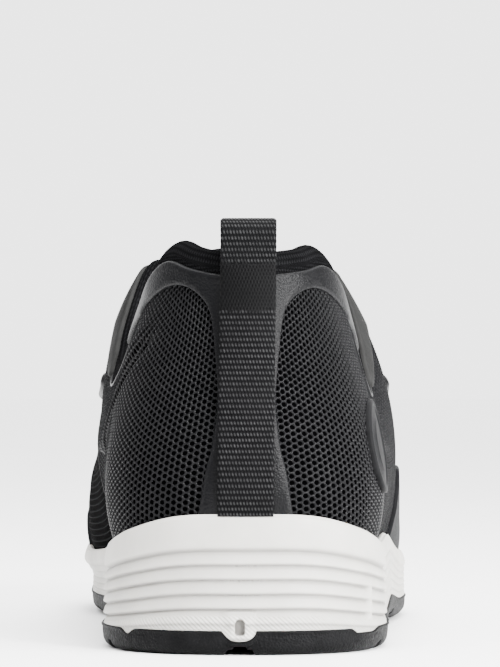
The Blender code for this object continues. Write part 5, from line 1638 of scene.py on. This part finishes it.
def groove_line(x, y):
    """Depth of the tread's grooves at places on the sole's underside."""
    depth = np.zeros_like(x)
    for rows in (HEEL_GROOVES, FORE_GROOVES):
        for along, slant in rows:
            bend = slant * (1 - 2 * np.clip(np.abs(x) / BALL_WIDTH, 0, 1))
            far = np.abs(y - along * LENGTH - bend) / (GROOVE_WIDTH / 2)
            depth = np.maximum(depth, GROOVE_DEPTH * (1 - smoothstep(0.78, 1.18, far)))
    far = np.abs(x - NOTCH_OFFSET) / (CHANNEL_WIDTH / 2)
    channel = (1 - smoothstep(0.82, 1.15, far)) * (1 - smoothstep(0.97, 1.0, y / (HEEL_FLAT[1] * LENGTH)))
    foot = CHANNEL_STEP * smoothstep(0.42, 0.52, far) * (y < 0.006)
    return np.maximum(depth, (GROOVE_DEPTH - 0.0002 - foot) * channel)


def sipe_line(x, y):
    """Fine cuts between the tread's grooves."""
    cut = smoothstep(0.80, 0.97, zigzag((y - 0.25 * np.abs(x)) / SIPE_PITCH))
    return SIPE_DEPTH * cut * (1 - smoothstep(0.78, 0.86, np.abs(x) / (BALL_WIDTH / 2)))


# The rubber's wall from its top down: insets and shares of its height
RUBBER_WALL = (
    (0.0022, 1.0), (0.0, 1.0), (-0.00030, 0.985), (-0.00044, 0.955), (-0.00040, 0.925),
    (-0.00016, 0.885), (-0.00012, 0.80), (-0.0001, 0.68), (0.0, 0.56),
)
EDGE_STEPS = 8
CHANNEL_STEP = 0.0009
SIPE_PITCH = 0.0052
SIPE_DEPTH = 0.0007
TREAD_COLUMNS = 74


def build_outsole_looks():
    """The rubber with a lip, rounded lower edge, cut tread and fine cuts."""
    places = sole_places(0.00030, 0.00085, 0.00100)
    count = len(places)
    half = count // 2
    plan = outward(places)
    foot0 = outline(places)
    edge = SOLE_EDGE_ROUND * (1 + 0.7 * smoothstep(0.38, 0.55, np.abs(places)))
    top = rubber_top(places)
    sections = [(np.full(count, inset), top * share) for inset, share in RUBBER_WALL]
    for angle in math.pi / 2 * np.arange(EDGE_STEPS + 1) / EDGE_STEPS:
        inset = edge * (1 - math.cos(angle)) * 0.92 + 0.00008
        sections.append((inset, 0.50 * RUBBER * (1 - math.sin(angle))))
    rings = []
    for inset, height in sections:
        foot = foot0 - (inset + tuck(places))[:, None] * plan
        cut = groove_line(foot[:, 0], foot[:, 1])
        level = np.minimum(np.maximum(height, cut), np.maximum(height, top - 0.0012))
        rings.append(np.concatenate((foot, (tread(foot[:, 1]) + level)[:, None]), -1))
    t = np.linspace(0, 1, TREAD_COLUMNS)[1:-1, None]
    left, right = rings[-1][1:half, None, :2], rings[-1][:half:-1, None, :2]
    inner = left * (1 - t) + right * t
    x, y = inner[..., 0], inner[..., 1]
    level = tread(y) + np.maximum(groove_line(x, y), sipe_line(x, y))
    inner = np.concatenate((inner, level[..., None]), -1)
    ids = len(rings) * count + np.arange(x.size).reshape(x.shape)
    heel = (len(rings) - 1) * count
    toe = heel + half
    lefts, rights = np.arange(heel + 1, toe), np.arange(heel + count - 1, toe, -1)
    full = np.concatenate((lefts[:, None], ids, rights[:, None]), 1)
    quads = np.stack((full[:-1, :-1], full[:-1, 1:], full[1:, 1:], full[1:, :-1]), -1)
    c = np.arange(1, half - 1)
    ends = np.full(TREAD_COLUMNS - 1, heel), np.full(TREAD_COLUMNS - 1, toe)
    faces = [
        grid_faces(len(rings), count, close_columns=True),
        quads.reshape(-1, 4),
        np.stack((ends[0], full[0, 1:], full[0, :-1]), -1),
        np.stack((ends[1], full[-1, :-1], full[-1, 1:]), -1),
        np.stack((c, count - c, count - c - 1, c + 1), -1),
        np.array([[0, count - 1, 1], [half, half - 1, half + 1]]),
    ]
    rings = np.array(rings)
    run = to_flat(places, np.full(count, 0.2))[:, 0]
    uv = np.stack((np.broadcast_to(run, rings.shape[:2]), rings[..., 2]), -1)
    uv = np.concatenate((uv.reshape(-1, 2), inner[..., :2].reshape(-1, 2)))
    points = np.concatenate((rings.reshape(-1, 3), inner.reshape(-1, 3)))
    mesh = build_mesh("outsole_rubber", points, faces, uv)
    add_piece("outsole_rubber", mesh, [RUBBER_FINISH], ["outsole"])


# Tongue, insole, eyelets and lace

TONGUE_ROWS = 150
TONGUE_COLUMNS = 49
TONGUE_PUFF = 0.00024
TONGUE_SEAMS = 9
INSOLE_OVERLAP = 0.0012
INSOLE_ROWS = 200
INSOLE_COLUMNS = 61
RING_SIDES = 40
RING_SECTION = 12
LACE_SIDES = 20
LACE_THICK = 0.0015


def tongue_rows():
    """The tongue's rows as in the CAD: seven points from the lateral side over the crown."""
    rows = []
    for q in np.linspace(TONGUE_SPAN[0] + 0.004, TONGUE_SPAN[1] - 0.004, 40):
        sides = []
        for side, _ in SIDES:
            place, ups = np.full(3, side * q), np.array((TONGUE_SIDE_UP, 0.95, 1.0))
            sides.append(offset(place, ups, -(thickness(place, ups) + TONGUE_GAP)))
        lateral, medial = sides
        crown = (lateral[2] + medial[2]) / 2
        crown[2] += 0.06 * np.linalg.norm(lateral[2] - medial[2])
        rows.append([*lateral, crown, *medial[::-1]])
    rows = np.array(rows)
    front = rows[-1] + (0, TONGUE_TAIL, -TONGUE_TAIL_DROP)
    extra = []
    middle_x = rows[0][3, 0]
    for narrow, back, rise in TONGUE_TOP_ROWS:
        row = rows[0] + (0, -back * TONGUE_TOP_REACH, rise * TONGUE_TOP_RISE)
        row[:, 0] = middle_x + narrow * (row[:, 0] - middle_x)
        extra.append(row)
    return np.concatenate((extra, rows, [front]))


def build_tongue_looks():
    """A padded tongue: puffed between its seams, bound at the top."""
    rows = tongue_rows()
    dense = np.stack([smooth_line(rows[:, k], TONGUE_ROWS) for k in range(rows.shape[1])], 1)
    across = TONGUE_COLUMNS
    top = np.stack([smooth_line(row, across) for row in dense], 0)
    count = len(top)
    down = unit(np.cross(np.gradient(top, axis=0), np.gradient(top, axis=1)))
    down = np.where(down[..., 2:3] > 0, -down, down)
    s = np.linspace(0, 1, count)[:, None]
    x = np.linspace(-1, 1, across)
    depth = TONGUE_THICKNESS * (0.55 + 0.45 * smoothstep(0.0, 0.12, s))
    depth = depth * (1 - 0.5 * smoothstep(0.93, 1.0, s))
    shrink = 0.42 + 0.58 * np.clip(1 - np.abs(x) ** 4, 0, 1) ** 0.7
    puff = TONGUE_PUFF * np.sin(math.pi * (s * TONGUE_SEAMS % 1.0)) * (1 - np.abs(x) ** 6)
    end = np.clip(np.minimum(s / 0.02, (1 - s) / 0.02), 0, 1) ** 0.5
    body = end * np.clip((1 - np.abs(x)) / 0.08, 0, 1) ** 0.5
    middle = down * (0.5 * depth * shrink)[..., None]
    upper = top + middle * (1 - body)[..., None] - down * (puff * body)[..., None]
    under = top + middle * (1 + body)[..., None]
    width = 2 * across
    faces = [grid_faces(count, width, close_columns=True)]
    k = np.arange(across - 1)
    for base in (0, (count - 1) * width):
        faces.append(base + np.stack((k, k + 1, width - 2 - k, width - 1 - k), -1))
    reach = np.concatenate((x, x[::-1])) * 0.026
    uv = np.stack(np.meshgrid(lengths(top[:, across // 2]), reach, indexing="ij")[::-1], -1)
    mesh = build_mesh("tongue_pad", np.concatenate((upper, under[:, ::-1]), 1), faces, uv)
    made = add_piece("tongue_pad", mesh, [KNIT], ["tongue"])


def build_insole_looks():
    """The insole: a dished footbed with a raised, rounded border and a cloth cover."""
    inner = CUP_INSET + WALL - INSOLE_OVERLAP
    halves = np.linspace(0.004, 0.996, INSOLE_ROWS)
    left = outline(halves) - inner * outward(halves)
    right = outline(-halves) - inner * outward(-halves)
    t = np.linspace(0, 1, INSOLE_COLUMNS)[:, None]
    plan = left[:, None] * (1 - t) + right[:, None] * t
    away = np.minimum(t, 1 - t).T * np.linalg.norm(left - right, axis=1)[:, None]
    away = np.minimum(away, np.minimum(halves, 1 - halves)[:, None] * LENGTH * 1.5)
    lip = INSOLE_LIP * (1 - smoothstep(0.0022, 0.0100, away)) * smoothstep(-0.0008, 0.0014, away)
    base = footbed(plan[..., 1])
    rim = np.clip(away / 0.0009, 0, 1) ** 0.5
    height = base + GAP + (INSOLE_THICKNESS + lip - GAP) * rim
    points = [np.concatenate((plan, level[..., None]), -1) for level in (height, base + GAP)]
    ids = np.arange(away.size).reshape(away.shape)
    loop = np.concatenate((ids[0], ids[1:, -1], ids[-1, -2::-1], ids[-2:0:-1, 0]))
    after = np.roll(loop, -1)
    wall = np.stack((loop, loop + away.size, after + away.size, after), -1)
    upper = grid_faces(*away.shape)
    lower = grid_faces(*away.shape, start=away.size)[:, ::-1]
    mesh = build_mesh("insole_cover", points, [upper, lower, wall], (plan, plan))
    made = add_piece("insole_cover", mesh, [COVER], ["insole"])


def edge_at(around):
    """A point of the opening's edge."""
    return surface(np.array(around), np.array(1.0))


def eyelet_place(q, side):
    """An eyelet's centre, the upper's outward direction there and the direction along the edge."""
    around = np.array(side * q)
    edge = edge_at(around)
    up = np.array(1.0 - 0.1 * EYELET_SETBACK / np.linalg.norm(edge - surface(around, np.array(0.9))))
    centre = surface(around, up)
    out = normal(around, up)
    ahead = surface(fold(around + side * 0.01), up) - centre
    return centre, out, unit(ahead - np.dot(ahead, out) * out)


def build_eyelet_rings():
    """Rolled eyelet rings, one joined piece."""
    lift = OVERLAY_GAP + OVERLAY - 0.0002
    middle, half = (EYELET_RADIUS + EYELET_HOLE) / 2, (EYELET_RADIUS - EYELET_HOLE) / 2
    angle = 2 * math.pi * np.arange(RING_SIDES) / RING_SIDES
    points, faces, uv, names = [], [], [], []
    for number, q in enumerate(EYELET_ROWS, 1):
        for side, word in SIDES:
            centre, out, ahead = eyelet_place(q, side)
            spokes = np.outer(np.cos(angle), ahead) + np.outer(np.sin(angle), np.cross(out, ahead))
            faces.append(grid_faces(RING_SECTION, RING_SIDES, True, True, len(points) * RING_SIDES))
            names.append(f"eyelet_{word}_{number}")
            for turn in 2 * math.pi * np.arange(RING_SECTION) / RING_SECTION:
                radius = middle + half * math.cos(turn)
                height = lift + 0.0005 + 0.0009 * math.sin(turn)
                points.append(centre + spokes * radius + out * height)
                uv.append(np.stack((angle * radius, np.full(RING_SIDES, turn * half)), -1))
    mesh = build_mesh("eyelet_rings", points, faces, np.array(uv))
    add_piece("eyelet_rings", mesh, [FILM], names)


def strip(line, outs, width, thick):
    """Points of a flat lace along a line, its cross-section a flattened round."""
    run = unit(np.gradient(line, axis=0))
    wide = unit(np.cross(run, outs))
    deep = np.cross(wide, run)
    rings, uv = [], []
    for angle in 2 * math.pi * np.arange(LACE_SIDES) / LACE_SIDES:
        x = math.copysign(abs(math.cos(angle)) ** 0.6, math.cos(angle)) * width / 2
        z = math.copysign(abs(math.sin(angle)) ** 0.8, math.sin(angle)) * thick / 2
        rings.append(line + wide * x + deep * z)
        uv.append(np.stack((lengths(line), np.full(len(line), x)), -1))
    return np.stack(rings, 1).reshape(-1, 3), np.stack(uv, 1).reshape(-1, 2)


def build_lace_looks():
    """Flat lace, crossed from eyelet to eyelet: out of one, over the tongue, under the far flap."""
    lift = OVERLAY_GAP + OVERLAY + 0.0004
    points, faces, uvs = [], [], []

    def add(stops, width=LACE_WIDTH, thick=LACE_THICK):
        """One strand through stops of (point, outward direction)."""
        start = sum(len(p) for p in points)
        dense = smooth_line([np.concatenate(stop) for stop in stops], 44)
        made, uv = strip(dense[:, :3], unit(dense[:, 3:]), width, thick)
        points.append(made)
        uvs.append(uv)
        faces.append(grid_faces(len(dense), LACE_SIDES, close_columns=True, start=start))
        for base in (start, start + (len(dense) - 1) * LACE_SIDES):
            faces.append((base + np.arange(LACE_SIDES))[None])

    def rise(a, out, edge):
        """Out of an eyelet from below and on to its flap."""
        return a - out * 0.0012, a + out * (lift + 0.0009) + unit(edge - a) * 0.0010

    rows = EYELET_ROWS[::-1]
    for first, _ in SIDES:
        for k in range(len(rows) - 1):
            side = first if k % 2 == 0 else -first
            a, out_a, _ = eyelet_place(rows[k], side)
            b, out_b, _ = eyelet_place(rows[k + 1], -side)
            edge_a = edge_at(side * (rows[k] * 0.88 + rows[k + 1] * 0.12))
            edge_b = edge_at(-side * (rows[k] * 0.12 + rows[k + 1] * 0.88))
            over = 0.0007 if (first > 0) == (k % 2 == 0) else -0.0002
            up = unit(out_a + out_b)
            span = np.linalg.norm(edge_a - edge_b)
            below, above = rise(a, out_a, edge_a)
            stops = [
                (below, out_a),
                (above, unit(out_a + 0.3 * unit(edge_a - a))),
                (a + (edge_a - a) * 0.62 + out_a * (lift + 0.0012), out_a),
                (edge_a + out_a * (lift + 0.0006), unit(out_a * 0.8 + up * 0.2)),
                (edge_a * 0.75 + edge_b * 0.25 + up * (0.0016 + 0.03 * span), up),
                ((edge_a + edge_b) / 2 + up * (0.0014 + 0.045 * span + over), up),
                (edge_a * 0.25 + edge_b * 0.75 + up * (0.0008 + 0.02 * span), up),
                (edge_b + out_b * (0.0002 - thickness(0.6, 1.0) * 0.5), out_b),
                (b - out_b * (WALL + 0.0008), out_b),
            ]
            if k == len(rows) - 2:
                inward = unit(edge_b - b)
                stops += [
                    (b - out_b * 0.0010 - inward * 0.0004, unit(out_b - 0.6 * inward)),
                    (b + out_b * (lift + 0.0006) - inward * 0.0003, unit(0.5 * out_b - inward)),
                ]
            add(stops)
    a, out_a, _ = eyelet_place(rows[0], 1)
    b, out_b, _ = eyelet_place(rows[0], -1)
    edge_a, edge_b = edge_at(rows[0]), edge_at(-rows[0])
    up = unit(out_a + out_b)
    span = np.linalg.norm(edge_a - edge_b)
    left = [(p, out_a) for p in (*rise(a, out_a, edge_a), edge_a + out_a * (lift + 0.0006))]
    right = [(p, out_b) for p in (*rise(b, out_b, edge_b), edge_b + out_b * (lift + 0.0006))]
    add(left + [((edge_a + edge_b) / 2 + up * (0.0016 + 0.03 * span), up)] + right[::-1])
    for side, _ in SIDES:
        a, out_a, _ = eyelet_place(rows[-1], side)
        inward = unit(edge_at(side * rows[-1]) - a)
        steps = ((-0.0020, 0.003), (-0.0006, 0.001), (0.0012, 0.0))
        stops = [(a + out_a * out + inward * along, inward) for out, along in steps]
        add(stops, width=0.0040, thick=0.0024)
    mesh = build_mesh("lace_strands", np.concatenate(points), faces, np.concatenate(uvs))
    add_piece("lace_strands", mesh, [LACE_FINISH], ["lace"])


# Floor, light and camera

FLOOR_RINGS = 40
FLOOR_SIDES = 96
FLOOR_REACH = 14.0
CAMERA_BACK = 1.10
CAMERA_HEIGHT = 0.079
HEEL = (0.0, -0.10, 0.05)
SENSOR = 36.0
FOCUS_PIXELS = 3850.0
FRAME_PIXELS = (500, 667)
PRINCIPAL = (245.0, 379.5)


def build_stage():
    """A wide pale floor."""
    angle = 2 * math.pi * np.arange(FLOOR_SIDES) / FLOOR_SIDES
    reach = FLOOR_REACH * (np.arange(1, FLOOR_RINGS + 1)[:, None] / FLOOR_RINGS) ** 2.2
    rings = np.stack((reach * np.cos(angle), reach * np.sin(angle), 0 * reach * angle), -1)
    points = np.concatenate((np.zeros((1, 3)), rings.reshape(-1, 3))) - SHIFT
    k = np.arange(FLOOR_SIDES)
    first = np.stack((np.zeros(FLOOR_SIDES, int), 1 + k, 1 + (k + 1) % FLOOR_SIDES), -1)
    faces = [first, grid_faces(FLOOR_RINGS, FLOOR_SIDES, close_columns=True, start=1)]
    up = np.tile((0.0, 0.0, 1.0), (len(points), 1))
    mesh = build_mesh("studio_floor", points, faces, points[:, :2], None, up)
    paper, tree, shader = new_material("studio_paper", (0.88, 0.88, 0.88), 0.9, Specular_IOR_Level=0.1)
    cloud = noise(tree, place_of(tree), 0.4, 2.0)
    shade = blend_colour(tree, cloud, (0.87, 0.87, 0.87), (0.90, 0.90, 0.90))
    tree.links.new(shade, shader.inputs["Base Color"])
    mesh.materials.append(paper)
    mesh.shade_smooth()
    link_new("studio_floor", mesh)


def area_light(name, place, size, power):
    """A soft box that points at the heel."""
    lamp = bpy.data.lights.new(name, "AREA")
    lamp.shape = "RECTANGLE"
    lamp.size, lamp.size_y = size
    lamp.energy = power
    made = link_new(name, lamp)
    made.location = place
    made.rotation_euler = (Vector(HEEL) - Vector(place)).to_track_quat("-Z", "Y").to_euler()


def build_lights():
    """Soft boxes, and a world with grey walls, a bright backdrop ahead and a bright ceiling."""
    world = bpy.data.worlds.new("studio")
    bpy.context.scene.world = world
    world.use_nodes = True
    tree = world.node_tree
    back = tree.nodes["Background"]
    back.inputs["Strength"].default_value = 3.0
    way = put(tree, "ShaderNodeSeparateXYZ", {"Vector": place_of(tree, "Generated")})
    across = spread(tree, way.outputs["X"], -0.9, 0.9, 0.0, 1.0)
    walls = blend_colour(tree, across, (0.17, 0.17, 0.18), (0.36, 0.36, 0.355))
    ahead = spread(tree, way.outputs["Y"], 0.70, 0.97, 0.0, 1.0)
    walls = blend_colour(tree, ahead, walls, (1.16, 1.16, 1.16))
    above = spread(tree, way.outputs["Z"], 0.25, 0.85, 0.0, 1.0)
    tree.links.new(blend_colour(tree, above, walls, (1.72, 1.72, 1.72)), back.inputs["Color"])
    area_light("top_soft", (0.15, -0.3, 1.5), (0.8, 0.8), 50)
    area_light("front_soft", (0.7, -1.8, 1.9), (0.8, 0.6), 25)
    area_light("key_right", (0.62, -1.0, 0.52), (0.26, 0.26), 40)
    area_light("right_box", (1.06, -0.62, 0.22), (0.26, 0.32), 30)


def build_camera():
    """The photo's camera, straight behind the heel and level."""
    data = bpy.data.cameras.new("camera")
    made = link_new("camera", data)
    made.location = (SHIFT[0], SHIFT[1] - CAMERA_BACK, CAMERA_HEIGHT)
    made.rotation_euler = (math.radians(90), 0, 0)
    data.sensor_fit = "AUTO"
    data.sensor_width = SENSOR
    data.lens = FOCUS_PIXELS / FRAME_PIXELS[1] * SENSOR
    data.shift_x = (FRAME_PIXELS[0] / 2 - PRINCIPAL[0]) / FRAME_PIXELS[1]
    data.shift_y = (PRINCIPAL[1] - FRAME_PIXELS[1] / 2) / FRAME_PIXELS[1]
    data.clip_start = 0.05
    data.clip_end = 20
    bpy.context.scene.camera = made


build_stage()
build_camera()
build_lights()
build_shell()
build_films()
for quarter, quarter_word in SIDES:
    build_honeycomb(quarter, quarter_word)
build_film_edges()
build_badge()
build_webbing()
build_midsole_looks()
build_outsole_looks()
build_tongue_looks()
build_insole_looks()
build_eyelet_rings()
build_lace_looks()
